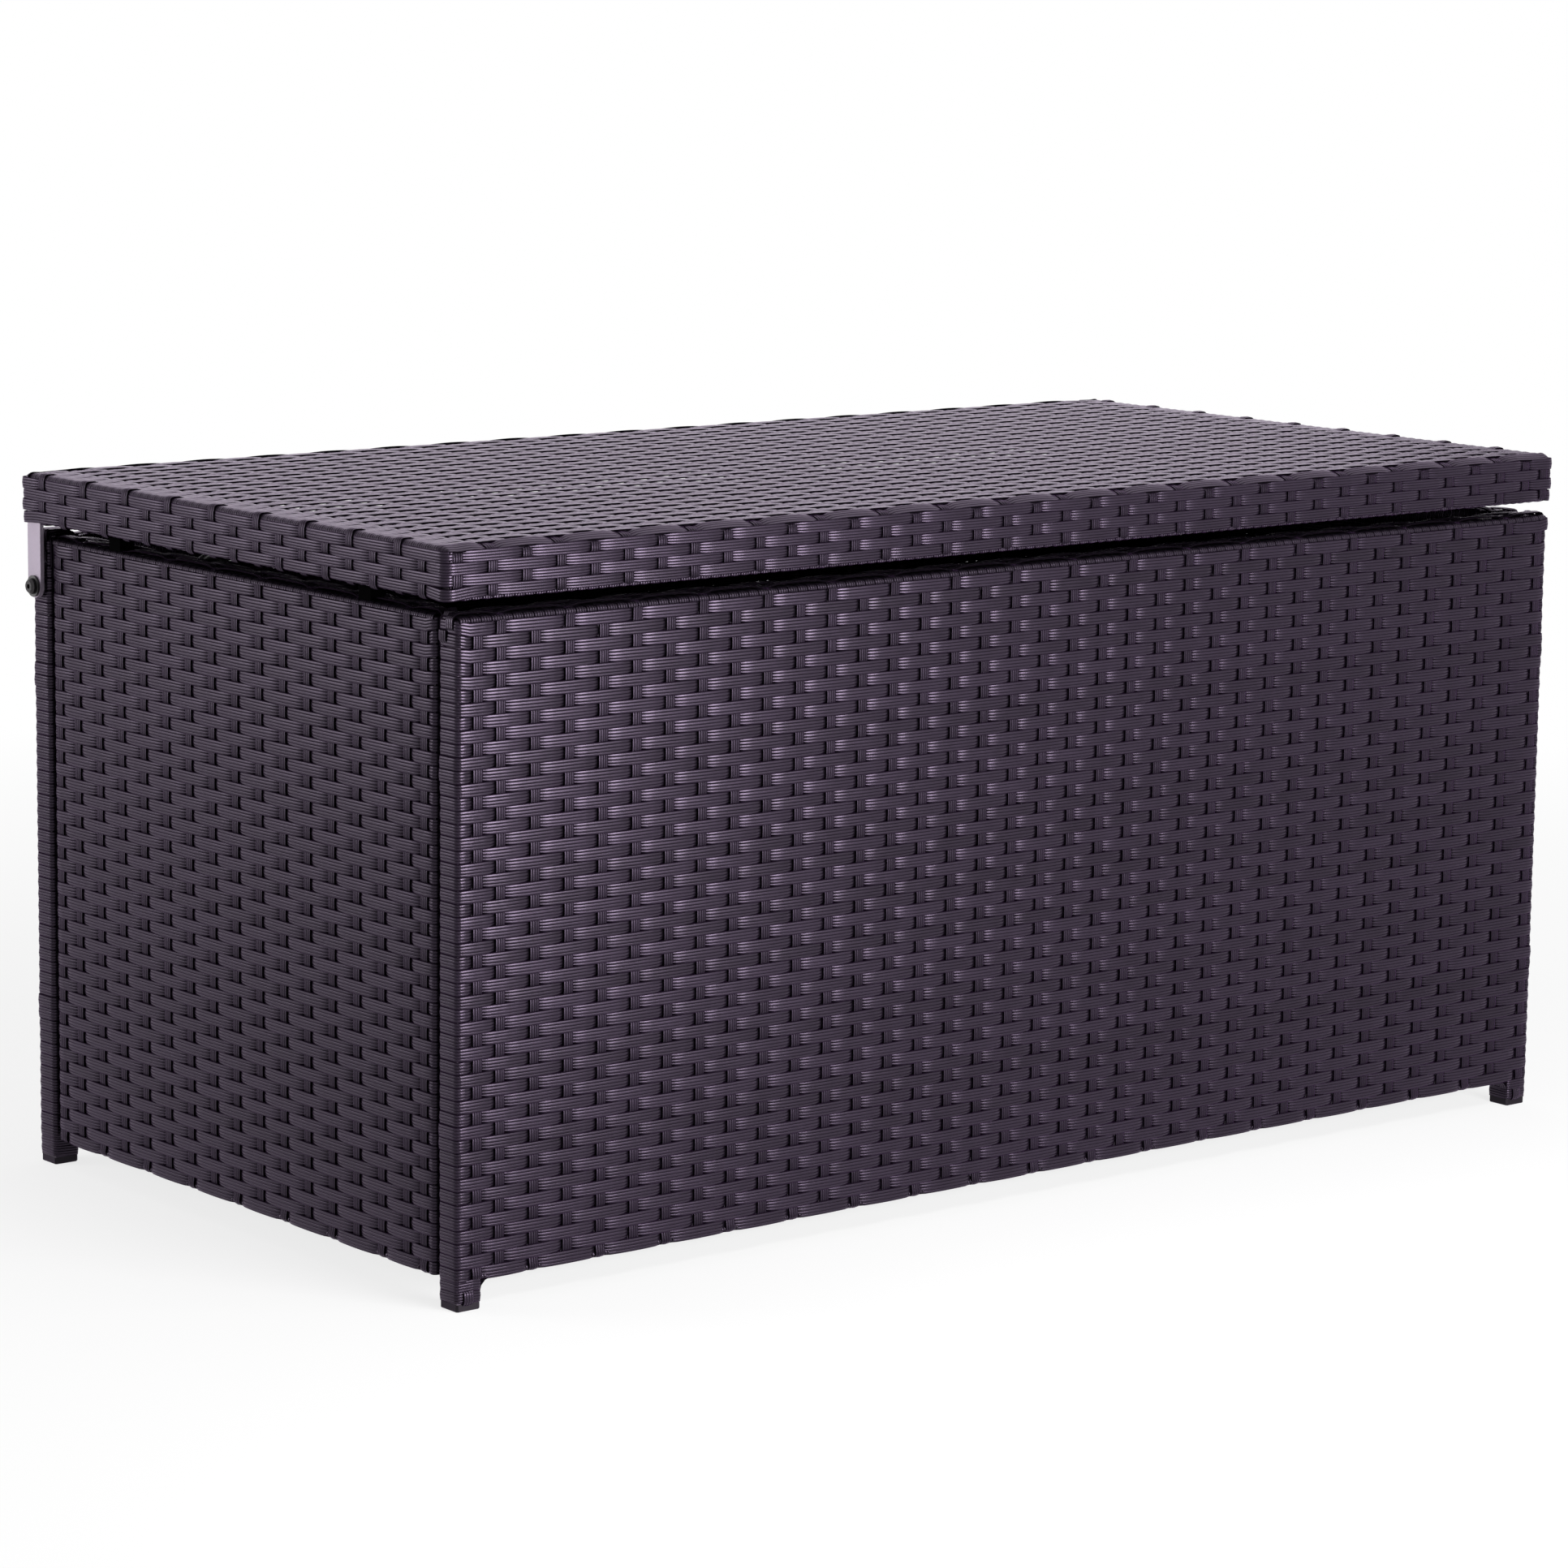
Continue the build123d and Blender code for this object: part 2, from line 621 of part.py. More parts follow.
with BuildPart() as pivot_spacers:
    for side in (-1, 1):
        start = (side * post_outer_x, pivot_y, pivot_z)
        length = arm_inner - side_play - post_outer_x
        rings([start], (side, 0, 0), pivot_spacer_radius, pivot_radius + slip, length)
save(pivot_spacers.part, "pivot_spacers")

with BuildPart() as pivot_bolts:
    reach = head_seat - post_outer_x + tube_wall + pivot_nut_length
    for side in (-1, 1):
        seat = (side * head_seat, pivot_y, pivot_z)
        bars([seat], (side, 0, 0), pivot_head_radius, pivot_head_height)
        bars([seat], (-side, 0, 0), pivot_radius, reach)
    crowns = pivot_bolts.edges().filter_by(GeomType.CIRCLE)
    chamfer([crowns.sort_by(Axis.X)[0], crowns.sort_by(Axis.X)[-1]], pivot_head_height / 2)
    for side in (-1, 1):
        mouth = (side * (head_seat + pivot_head_height), pivot_y, pivot_z)
        bars([mouth], (-side, 0, 0), pivot_socket, pivot_head_height * 0.6, Mode.SUBTRACT, 6)
save(pivot_bolts.part, "pivot_bolts")

with BuildPart() as pivot_nuts:
    for side in (-1, 1):
        start = (side * (post_outer_x - tube_wall), pivot_y, pivot_z)
        rings([start], (-side, 0, 0), pivot_nut_radius, pivot_radius + running, pivot_nut_length, 6)
save(pivot_nuts.part, "pivot_nuts")

# ---- gas struts ---------------------------------------------------------------------------------------------------
plate_face = side_inner_x - bracket_plate
with BuildPart() as strut_base_brackets:
    low_y, high_y = base_y - eye_radius, body_y + stile_y + bracket_width / 2
    for side in (-1, 1):
        with BuildSketch(Plane((side * side_inner_x, 0, 0), x_dir=(0, side, 0), z_dir=(-side, 0, 0))) as plate:
            with Locations((side * (low_y + high_y) / 2, -base_z)):
                Rectangle(high_y - low_y, bracket_height)
            chamfer(plate.vertices(), bracket_plate)
        extrude(plate.sketch, amount=bracket_plate)
        stud = (side * plate_face, base_y, base_z)
        standoff = plate_face - eye_outer - side_play
        bars([stud], (-side, 0, 0), standoff_radius, standoff, sides=fastener_sides)
        bars([stud], (-side, 0, 0), stud_radius, plate_face - eye_inner + side_play + stud_head)
        head = (side * (eye_inner - side_play), base_y, base_z)
        bars([head], (-side, 0, 0), standoff_radius, stud_head, sides=fastener_sides)
        holes(bracket_points(side * plate_face), (side, 0, 0), screw_hole, bracket_plate)
save(strut_base_brackets.part, "strut_base_brackets")

with BuildPart() as strut_lid_brackets:
    lid_plate_face = lid_bracket_face - bracket_plate
    low_z, high_z = stud_z - eye_radius, ring_middle + screw_head_radius + 1
    for side in (-1, 1):
        start = (side * lid_bracket_face, stud_y, (low_z + high_z) / 2)
        with BuildSketch(Plane(start, x_dir=(0, 1, 0), z_dir=(-side, 0, 0))) as plate:
            Rectangle(bracket_width, high_z - low_z)
            chamfer(plate.vertices(), bracket_plate)
        extrude(plate.sketch, amount=bracket_plate)
        stud = (side * lid_plate_face, stud_y, stud_z)
        standoff = lid_plate_face - eye_outer - side_play
        bars([stud], (-side, 0, 0), standoff_radius, standoff, sides=fastener_sides)
        starts = [(side * lid_plate_face, stud_y + offset, ring_middle) for offset in lid_bracket_offsets]
        holes(starts, (side, 0, 0), screw_hole, bracket_plate)
save(strut_lid_brackets.part, "strut_lid_brackets")

with BuildPart() as bracket_screws:
    for side in (-1, 1):
        screws(bracket_points(side * plate_face), (side, 0, 0))
save(bracket_screws.part, "bracket_screws")

with BuildPart() as lid_bracket_screws:
    for side in (-1, 1):
        seats = [(side * lid_plate_face, stud_y + offset, ring_middle) for offset in lid_bracket_offsets]
        screws(seats, (side, 0, 0))
save(lid_bracket_screws.part, "lid_bracket_screws")

for name, side in sides:
    base = Vector(side * strut_x, base_y, base_z)
    lengthwise = Plane(base, x_dir=strut_direction, z_dir=(1, 0, 0))
    eye_start = (side * eye_outer, base_y, base_z)
    with BuildPart() as cylinder:
        bore = cylinder_radius - cylinder_wall
        gland = strut_rod_radius + running
        profile = [
            (cylinder_start, 0),
            (cylinder_start, cylinder_radius),
            (cylinder_end, cylinder_radius),
            (cylinder_end, gland),
            (cylinder_end - gland_length, gland),
            (cylinder_end - gland_length, bore),
            (cylinder_start + gland_length, bore),
            (cylinder_start + gland_length, 0),
        ]
        with BuildSketch(lengthwise) as section:
            polygon(profile)
        revolve(section.sketch, axis=Axis(base, strut_direction))
        neck_length = cylinder_start - stud_radius
        neck_start = base + strut_direction * stud_radius * 1.3
        bars([neck_start], strut_direction, neck_radius, neck_length, sides=fastener_sides)
        bars([eye_start], (-side, 0, 0), eye_radius, eye_thickness)
        bars([eye_start], (-side, 0, 0), stud_radius + running, eye_thickness, Mode.SUBTRACT)
    save(cylinder.part, f"{name}_strut_cylinder")

    with BuildPart() as rod:
        rod_length = shut_length - rod_start
        bars([base + strut_direction * rod_start], strut_direction, strut_rod_radius, rod_length)
        piston = cylinder_radius - cylinder_wall - slip
        bars([base + strut_direction * rod_start], strut_direction, piston, piston_length)
        eye_start = (side * eye_outer, stud_y, stud_z)
        bars([eye_start], (-side, 0, 0), eye_radius, eye_thickness)
        head = (side * eye_inner, stud_y, stud_z)
        bars([head], (-side, 0, 0), standoff_radius, stud_head, sides=fastener_sides)
    save(rod.part, f"{name}_strut_rod")
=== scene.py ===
# %% [markdown]
# A deck storage box: four walls of flat plastic strand woven on welded square tubes, and a woven lid on
# two hinge arms. The tubes, bolts and struts come packed as a fixed frame, and this lesson weaves the
# strands round them. Blender works in metres, and `mm` keeps the numbers readable.

import math

import bmesh
import bpy
import numpy as np
from mathutils import Matrix, Vector


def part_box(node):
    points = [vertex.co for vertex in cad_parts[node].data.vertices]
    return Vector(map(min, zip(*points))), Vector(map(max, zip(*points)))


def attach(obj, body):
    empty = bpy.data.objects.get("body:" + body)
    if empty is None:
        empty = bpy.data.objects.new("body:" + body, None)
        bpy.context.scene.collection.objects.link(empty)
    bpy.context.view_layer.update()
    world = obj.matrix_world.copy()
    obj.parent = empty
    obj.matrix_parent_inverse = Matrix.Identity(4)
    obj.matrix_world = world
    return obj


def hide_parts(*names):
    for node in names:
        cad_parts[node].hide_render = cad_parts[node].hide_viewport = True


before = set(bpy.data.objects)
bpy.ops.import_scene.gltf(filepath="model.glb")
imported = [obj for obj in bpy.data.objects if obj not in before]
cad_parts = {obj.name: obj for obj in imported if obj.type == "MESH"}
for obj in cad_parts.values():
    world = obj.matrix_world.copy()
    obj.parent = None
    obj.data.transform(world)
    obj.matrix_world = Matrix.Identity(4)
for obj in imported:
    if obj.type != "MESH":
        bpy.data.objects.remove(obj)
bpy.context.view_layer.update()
scene = bpy.context.scene
mm = 0.001

# %% [markdown]
# The camera stands to the left of the front and a little above the box. A long lens keeps the box's
# edges nearly parallel. Its turns are built one after the other: down to the box, round it, and a
# slight roll.

# %% Camera
azimuth, elevation, roll = (math.radians(angle) for angle in (39.314, 9.71, 0.718))
camera_place = (-2.8586, -3.4561, 1.0785)
lens = bpy.data.cameras.new("camera")
lens.lens = 119.14
lens.sensor_width = 36.0
lens.clip_end = 60.0
camera = bpy.data.objects.new("camera", lens)
scene.collection.objects.link(camera)
round_box = Matrix.Rotation(-azimuth, 4, "Z")
down = Matrix.Rotation(math.pi / 2 - elevation, 4, "X")
camera.matrix_world = Matrix.Translation(camera_place) @ round_box @ down @ Matrix.Rotation(roll, 4, "Z")
scene.camera = camera
print("camera:", lens.lens, "mm lens")

# %% [markdown]
# Shader maths reads best as plain expressions. `Level` wraps one output socket, and each operator on it
# adds a Math node, so `1 - groove * 0.5` builds its own nodes. `Finish` makes a material whose constants
# are set straight on the shader, and its one method `node` adds any other kind of node.

# %% Socket maths
class Level:
    """A number that varies over a surface."""

    def __init__(self, finish, socket):
        self.finish, self.socket = finish, socket

    def math(self, operation, *values):
        inputs = dict(enumerate((self, *values)))
        return self.finish.node("Math", {"operation": operation}, inputs)

    def __add__(self, other):
        return self.math("ADD", other)

    __radd__ = __add__

    def __mul__(self, other):
        return self.math("MULTIPLY", other)

    __rmul__ = __mul__

    def __sub__(self, other):
        return self.math("SUBTRACT", other)

    def __rsub__(self, other):
        return self * -1.0 + other

    def clamped(self):
        """The same number, held between 0 and 1."""
        return self.math("MAXIMUM", 0.0).math("MINIMUM", 1.0)


class Finish:
    """A material: constants are set on the shader, and what varies is fed to it."""

    def __init__(self, name, **constants):
        self.material = bpy.data.materials.new(name)
        self.material.use_nodes = True
        self.tree = self.material.node_tree
        self.shader = self.tree.nodes["Principled BSDF"]
        for socket, value in constants.items():
            self.shader.inputs[socket.replace("_", " ")].default_value = value

    def node(self, kind, settings, inputs, output=0):
        made = self.tree.nodes.new("ShaderNode" + kind)
        for key, value in settings.items():
            setattr(made, key, value)
        for key, value in inputs.items():
            self.feed(made.inputs[key], value)
        return Level(self, made.outputs[output])

    def feed(self, socket, value):
        if isinstance(value, Level):
            self.tree.links.new(value.socket, socket)
        else:
            socket.default_value = value

    def vary(self, socket, value):
        self.feed(self.shader.inputs[socket], value)

    def noise(self, scale, detail=3.0, stretch=(1, 1, 1)):
        spot = self.node("TexCoord", {}, {}, "Object")
        spot = self.node("Mapping", {}, {"Vector": spot, "Scale": stretch})
        return self.node("TexNoise", {}, {"Vector": spot, "Scale": scale, "Detail": detail})

    def shades(self, dark, light, share):
        inputs = {"Factor": share, 6: (*dark, 1), 7: (*light, 1)}
        return self.node("Mix", {"data_type": "RGBA"}, inputs, 2)

    def bump(self, height, depth):
        inputs = {"Height": height, "Distance": depth, "Strength": 1.0}
        self.vary("Normal", self.node("Bump", {}, inputs))


print("socket maths ready")

# %% [markdown]
# The strand is extruded plastic with four round ribs along it, and each rib is pressed into short beads
# that catch the light; their lighter colour is a painted glint. Every strand carries its own map,
# `strand`: how far along it a point is, in metres, and how far across, from 0 to 1. The ribs are
# half-round arcs across that map. Little light reaches a groove, so the groove is painted darker than a
# rib, a painted shade, and a high Metallic on a near-black colour takes its shine away too. A `tone`
# number of its own makes one strand a little lighter than the next, and `deep` tells where a strand is
# down between its neighbours, which shade it from its edges inwards; that shade is painted too. Rows,
# stakes and rail strands get a finish each. The stakes, in the shade between the rows, are a darker copy
# with wider dark grooves and less shine, and the rail strands, in the shade of the lid, a slightly darker
# copy with wider dark grooves: both are painted shade.

# %% Strand finish
rib_count = 4
rib_height = 0.5 * mm
bead_length = 1.3 * mm
bead_shift = 7.0
edge_share, edge_shade = 0.14, 0.2
# groove_dark is the colour of painted shade, in the grooves and where a strand is down between its
# neighbours.
groove_dark = (0.0009, 0.0006, 0.0011)


def strand_finish(name, light, roughness, groove, shine=0.42, sheen=0.03):
    """`groove` below 1 widens the dark of the grooves, and above 1 narrows it."""
    strand = Finish(
        name,
        Specular_IOR_Level=shine,
        Specular_Tint=(0.92, 0.74, 1.0, 1),
        Sheen_Weight=sheen,
        Sheen_Roughness=0.35,
        Sheen_Tint=(0.62, 0.26, 0.82, 1),
    )
    spot = strand.node("UVMap", {"uv_map": "strand"}, {})
    along = strand.node("SeparateXYZ", {}, {0: spot}, 0)
    across = strand.node("SeparateXYZ", {}, {0: spot}, 1)
    rib = across * rib_count
    arc = rib.math("FRACT") * 2.0 - 1.0
    hollow = arc * arc * arc * arc
    ridge = 1 - hollow
    deep = strand.node("Attribute", {"attribute_name": "deep"}, {}, "Fac")
    off_middle = (across - 0.5).math("ABSOLUTE") * 2
    edge = ((off_middle - (1 - edge_share) + deep * deep * edge_shade) * (1 / edge_share)).clamped()
    sunk = (deep * 2.1 - 1.0).clamped()
    painted_shade = 1 - (1 - hollow.math("POWER", groove)) * (1 - sunk * 0.85) * (1 - edge)
    wander = strand.noise(150.0, 2.0)
    # The beads are real bumps, and they also lighten the colour and add shine, a painted glint.
    bead = along * (2 * math.pi / bead_length) + rib * bead_shift + wander * 4.0
    beads = bead.math("SINE") * 0.5 + 0.5
    tone = strand.node("Attribute", {"attribute_name": "tone"}, {}, "Fac")
    grain = strand.noise(60.0, 4.0)
    # Painted shade in the colour: rib tops lighter than the grooves, and the sunk parts darker. `tone` and
    # `grain` are the strand's own colour.
    share = ridge * 0.7 + tone * 0.35 + grain * 0.4 - 0.42 - sunk * 0.6 + (beads - 0.5) * 0.2
    strand.vary("Base Color", strand.shades(groove_dark, light, share.clamped()))
    strand.vary("Roughness", roughness + hollow * 0.5 + (grain - 0.5) * 0.1)
    # A high Metallic on the near-black colour takes the shine away in the grooves, at the shaded edges and in
    # the sunk parts, a painted shade.
    strand.vary("Metallic", 0.35 + 0.62 * (1 - (1 - painted_shade) * (0.75 + beads * 0.25)))
    fine = strand.noise(2600.0, 2.0)
    strand.bump(ridge + beads * ridge * 0.06 + fine * 0.03 - edge * (1 - deep) * 0.8, rib_height)
    return strand.material


row_strand = strand_finish("row_strand", (0.0125, 0.0084, 0.0155), 0.31, 1.15)
# The stake strand is a darker copy of the row strand with wider dark grooves and less shine, a painted shade
# for the shade between the rows.
stake_strand = strand_finish("stake_strand", (0.009, 0.006, 0.0112), 0.36, 0.7, shine=0.26)
# The rail strand is a slightly darker copy with wider dark grooves, a painted shade for the shade under the
# lid.
rail_strand = strand_finish("rail_strand", (0.011, 0.0076, 0.0135), 0.27, 0.7, sheen=0.0)
print("strand finishes:", len(row_strand.node_tree.nodes), "nodes each")

# %% [markdown]
# Every strand on this box is the same tape, laid along a `Line`: a flat path with rounded corners,
# measured by its length, whose left side is the outside. A strand only knows how far along the line it
# is and how far off it, so the same tape can run along a wall, wrap a post or loop over a rail.

# %% A line to lay strand on
arc_parts = 3


class Line:
    """A flat path through points, its corners rounded to a radius."""

    def __init__(self, points, radius):
        points = [np.array(p, float) for p in points]
        spots, ways, bends = [], [], []
        for before, corner, after in zip(points, points[1:], points[2:]):
            come = (corner - before) / np.linalg.norm(corner - before)
            leave = (after - corner) / np.linalg.norm(after - corner)
            turns = np.linspace(0, math.pi / 2, arc_parts + 1)
            for turn in turns:
                reach = radius * (math.sin(turn) - 1)
                spots.append(corner + come * reach + leave * radius * (1 - math.cos(turn)))
                ways.append(come * math.cos(turn) + leave * math.sin(turn))
                bends.append(len(spots))
        ends = [points[1] - points[0], points[-1] - points[-2]]
        ways = [ends[0] / np.linalg.norm(ends[0]), *ways, ends[1] / np.linalg.norm(ends[1])]
        self.spots = np.array([points[0], *spots, points[-1]])
        self.outs = np.array([(-b, a) for a, b in ways])
        steps = np.linalg.norm(np.diff(self.spots, axis=0), axis=1)
        self.along = np.concatenate([[0], np.cumsum(steps)])
        self.length = self.along[-1]
        self.bends = list(self.along[bends])

    def at(self, along):
        spot = [np.interp(along, self.along, self.spots[:, i]) for i in (0, 1)]
        out = [np.interp(along, self.along, self.outs[:, i]) for i in (0, 1)]
        size = np.hypot(*out)
        return np.array(spot), np.array(out) / size

    def measure(self, spots):
        """How far along the line each of these spots lies."""
        fine = np.linspace(0, self.length, int(self.length / (0.5 * mm)))
        line = self.at(fine)[0]
        gaps = [np.hypot(line[0] - a, line[1] - b) for a, b in spots]
        return np.array([fine[g.argmin()] for g in gaps])


print("lines ready")

# %% [markdown]
# A strand starts as a grid of faces, one column for each place where it may bend, and Solidify gives it
# thickness. Copies of it lie side by side. Then each column goes to its place along the line, and of the
# three points across it the middle one stands a little higher, so that light slides over the strand as
# over a real one. A braid collects such strands and becomes one piece.

# %% Strands
strand_width = 10.2 * mm
strand_thick = 1.5 * mm
crown = 0.5 * mm
shade_depth = 3.2 * mm
sharp_from = math.radians(50)
chance = np.random.default_rng(7)


def spaced(stops, length, least=0.5 * mm):
    """The stops in order, none closer to the one before than `least`."""
    kept = [0.0]
    for stop in np.sort(np.clip(stops, 0, length - least)):
        if stop - kept[-1] > least:
            kept.append(stop)
    return np.array([*kept, length])


def flat_strands(columns, count):
    """Copies of a flat strand: columns one apart along x, strands two apart along y, one thick."""
    flat = bmesh.new()
    bmesh.ops.create_grid(flat, x_segments=columns, y_segments=2, size=0.5)
    bmesh.ops.scale(flat, vec=(columns, 1, 1), verts=flat.verts)
    bmesh.ops.translate(flat, vec=(columns / 2, 0, 1), verts=flat.verts)
    flat.normal_update()
    bmesh.ops.solidify(flat, geom=flat.faces[:], thickness=1)
    one = flat.verts[:] + flat.edges[:] + flat.faces[:]
    for k in range(1, count):
        more = bmesh.ops.duplicate(flat, geom=one)["geom"]
        points = [p for p in more if isinstance(p, bmesh.types.BMVert)]
        bmesh.ops.translate(flat, vec=(0, 2 * k, 0), verts=points)
    mesh = bpy.data.meshes.new("flat")
    flat.to_mesh(mesh)
    flat.free()
    return mesh


class Braid:
    """Strands that become one piece. `seat` turns and moves local places to the box."""

    def __init__(self):
        self.bm = bmesh.new()

    def lay(
        self,
        line,
        order,
        middles,
        stops,
        height,
        seat,
        width=strand_width,
        pinch=None,
        drift=0.0,
        sag=None,
        deep_from=-1.0,
        tilt=0.0,
    ):
        """Lays a strand along the line at each middle, with columns at the stops. `order` says which
        local axes are the line's two and the strand's width. `height(along, k)` is how far off the
        line strand k lies, `pinch(along, lift)` how its width changes and `sag(along, k)` how its
        middle moves; `drift` is how far it strays by chance. `deep_from` is the height below which
        its neighbours shade it, and `tilt` the slope across it."""
        stops = spaced(stops, line.length)
        mesh = flat_strands(len(stops) - 1, len(middles))
        flat = np.empty(len(mesh.vertices) * 3)
        mesh.vertices.foreach_get("co", flat)
        column, y, top = flat.reshape(-1, 3).T
        k = np.rint(y / 2).astype(int)
        share = y - 2 * k
        along = stops[np.rint(column).astype(int)]
        lift = lift_line = height(along, k)
        wide = width * (pinch(along, lift) if pinch else 1.0)
        phase = chance.uniform(0, 2 * math.pi, (3, len(middles)))
        sway = sum(np.sin(along / reach + phase[i][k]) for i, reach in enumerate((0.055, 0.021)))
        across = np.asarray(middles)[k] + share * wide + drift * sway + (sag(along, k) if sag else 0)
        lift = lift + top * (strand_thick - crown * (2 * share) ** 2) + share * wide * tilt
        spot, out = line.at(along)
        local = np.empty((3, len(k)))
        local[order[0]], local[order[1]] = spot + out * lift
        local[order[2]] = across
        matrix, offset = seat
        mesh.vertices.foreach_set("co", (matrix @ local + offset[:, None]).T.ravel())
        corners = np.empty(len(mesh.loops), int)
        mesh.loops.foreach_get("vertex_index", corners)
        start = chance.uniform(0, 5, len(middles))
        chart = np.stack([along + start[k], share + 0.5], 1)
        mesh.uv_layers.new(name="strand").data.foreach_set("uv", chart[corners].ravel())
        tone = chance.uniform(0, 1, len(middles))
        mesh.attributes.new("tone", "FLOAT", "POINT").data.foreach_set("value", tone[k])
        depth = np.clip((deep_from - lift_line) / shade_depth, 0, 1)
        mesh.attributes.new("deep", "FLOAT", "POINT").data.foreach_set("value", depth)
        self.bm.from_mesh(mesh)
        bpy.data.meshes.remove(mesh)

    def piece(self, name, body, nodes, material=row_strand, slot="woven_strand"):
        bmesh.ops.recalc_face_normals(self.bm, faces=self.bm.faces)
        return finish_piece(self.bm, name, body, material, nodes)


def finish_piece(bm, name, body, material, nodes):
    """Turns a bmesh into a piece that rides on a body and stands for CAD nodes."""
    mesh = bpy.data.meshes.new(name)
    bm.to_mesh(mesh)
    bm.free()
    mesh.materials.append(material)
    mesh.shade_smooth()
    mesh.set_sharp_from_angle(angle=sharp_from)
    piece = bpy.data.objects.new(name, mesh)
    scene.collection.objects.link(piece)
    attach(piece, body)
    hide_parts(*nodes)
    triangles = sum(len(p.vertices) - 2 for p in mesh.polygons)
    print(name, triangles, "triangles")
    return piece


print("strands ready")

# %% [markdown]
# In a plain weave a row goes over one stake and under the next. Where it dives under a stake it drops
# fast beside the stake, and over the next one it rises in a long, low bow. So its height follows how
# near the closest dive is: about half of it as a parabola, and the rest as a smooth step.

# %% Weave shape
bow = 1.5 * mm
dip = 1.7 * mm
dive_offsets = np.array([0, 4.4, 7.4, 10.6, 17.0, 24.5]) * mm
reach = 32.6 * mm
parabola = 0.55
step_from, step_over = 0.64, 0.22


def smooth(x):
    """Rises from 0 to 1 as x does, level at both ends."""
    x = np.clip(x, 0, 1)
    return x * x * (3 - 2 * x)


def weaving(along, dives, bow=bow, dip=dip):
    """Height of a strand that dives at these places and bows between them."""
    gap = np.abs(np.asarray(along)[:, None] - np.asarray(dives)[None, :]).min(1)
    near = 1 - np.clip(gap / reach, 0, 1)
    fall = parabola * near**2 + (1 - parabola) * smooth((near - step_from) / step_over)
    return bow - (bow + dip) * fall


def weave_stops(dives, line, extra=()):
    """Columns close together beside each dive and at the line's bends, and one on each bow."""
    dives = np.asarray(dives)
    beside = [dives + side * gap for side in (-1, 1) for gap in dive_offsets]
    bows = (dives[1:] + dives[:-1]) / 2
    return np.concatenate([*beside, bows, line.bends, [0, line.length], extra])


def pinched(along, lift):
    """A bow presses the strand flat and wide; a dive squeezes it between its neighbours."""
    widest, squeeze = 1.045, 0.025
    return widest - squeeze * np.clip((bow - lift) / (bow + dip), 0, 1)


print("a row drops", round((bow + dip) / mm, 2), "mm between bow and dive")

# %% [markdown]
# The four walls are alike: posts or stiles at the ends, a rail above and below, fifty rows of strand
# woven over upright stakes. A wall is described by how far it reaches along, out and up, and a `seat`
# turns it to its side of the box. The tubes' faces come from the frame. The rows stop a little below
# the rail's top, so that the hatch of the wrapped rail shows above them.

# %% Walls from the frame
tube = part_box("front_posts")[1].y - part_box("front_posts")[0].y
rows = 50
rows_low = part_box("front_weave")[0].z
rail_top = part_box("front_posts")[1].z
rail_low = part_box("front_rails")[0].z
body_middle = np.array([0, (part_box("front_posts")[0].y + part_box("back_posts")[1].y) / 2, 0])
long_half, long_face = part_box("front_posts")[1].x, body_middle[1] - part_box("front_posts")[0].y
end_half, end_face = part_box("left_stiles")[1].y - body_middle[1], -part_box("left_stiles")[0].x
rail_shows = 2.0 * mm
row_pitch = (rail_top - rail_shows - rows_low) / rows
corner_radius = 2.6 * mm
corner_lift = 0.35 * mm

seats = {
    "front": (np.array([[1, 0, 0], [0, -1, 0], [0, 0, 1]]), body_middle),
    "back": (np.array([[1, 0, 0], [0, 1, 0], [0, 0, 1]]), body_middle),
    "left": (np.array([[0, -1, 0], [1, 0, 0], [0, 0, 1]]), body_middle),
    "right": (np.array([[0, 1, 0], [1, 0, 0], [0, 0, 1]]), body_middle),
}
print("half lengths", round(long_half, 4), round(end_half, 4), "row pitch", round(row_pitch / mm, 2), "mm")

# %% [markdown]
# Rows wrap right round the end posts, and stakes wrap the rails. A stake that crosses over the odd rows
# is `odd`, and the odd rows dive under it. Beside the posts the weaver adds a stake close to the edge.

# %% Stakes of each wall
long_between, end_between = 35, 15
end_reach = end_half + 1.6 * mm


def stakes_at(first, start, pitch, between, last, middle):
    """One stake close to each edge, and the others at an even pitch between them."""
    return np.concatenate([[first], start + pitch * np.arange(between), [last]]) * mm - middle


def odd_stakes(between):
    return np.concatenate([[False], np.arange(between) % 2 == 0, [False]])


long_stakes = stakes_at(19.5, 41, 32.64, long_between, 1188.8, 600 * mm)
end_stakes = stakes_at(15, 38, 34.14, end_between, 544, end_reach)
wall_sides = (
    ("front", long_half, long_face, long_stakes, odd_stakes(long_between)),
    ("back", long_half, long_face, long_stakes, odd_stakes(long_between)),
    ("left", end_half, end_face, end_stakes, odd_stakes(end_between)),
    ("right", end_half, end_face, end_stakes, odd_stakes(end_between)),
)
row_middles = rows_low + row_pitch * (rows - np.arange(rows) - 0.5)
print("stakes:", len(long_stakes), "on a long wall and", len(end_stakes), "on an end wall")

# %% [markdown]
# On the wall a row weaves. Within `post_run` of the edge it goes over to lying flat round the post, a
# little narrower. The first few rows climb there, to close the post up to the rail. On the front and
# back posts the rows swell over the heads of the joint bolts, and the top row's end stands out over the
# strand that comes down from the rail.

# %% Lines and rows of a wall
row_drift = 0.1 * mm
post_run = 11 * mm
post_early = 2 * mm
post_squeeze = 0.045
climb, climb_rows = 2.2 * mm, 7
bolt_low, bolt_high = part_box("joint_bolts")
bolt_heights = (bolt_low.z + 5 * mm, bolt_high.z - 5 * mm)
bolt_swell, bolt_spread = 1.1 * mm, 11 * mm
end_rise, end_run = 2.0 * mm, 8 * mm


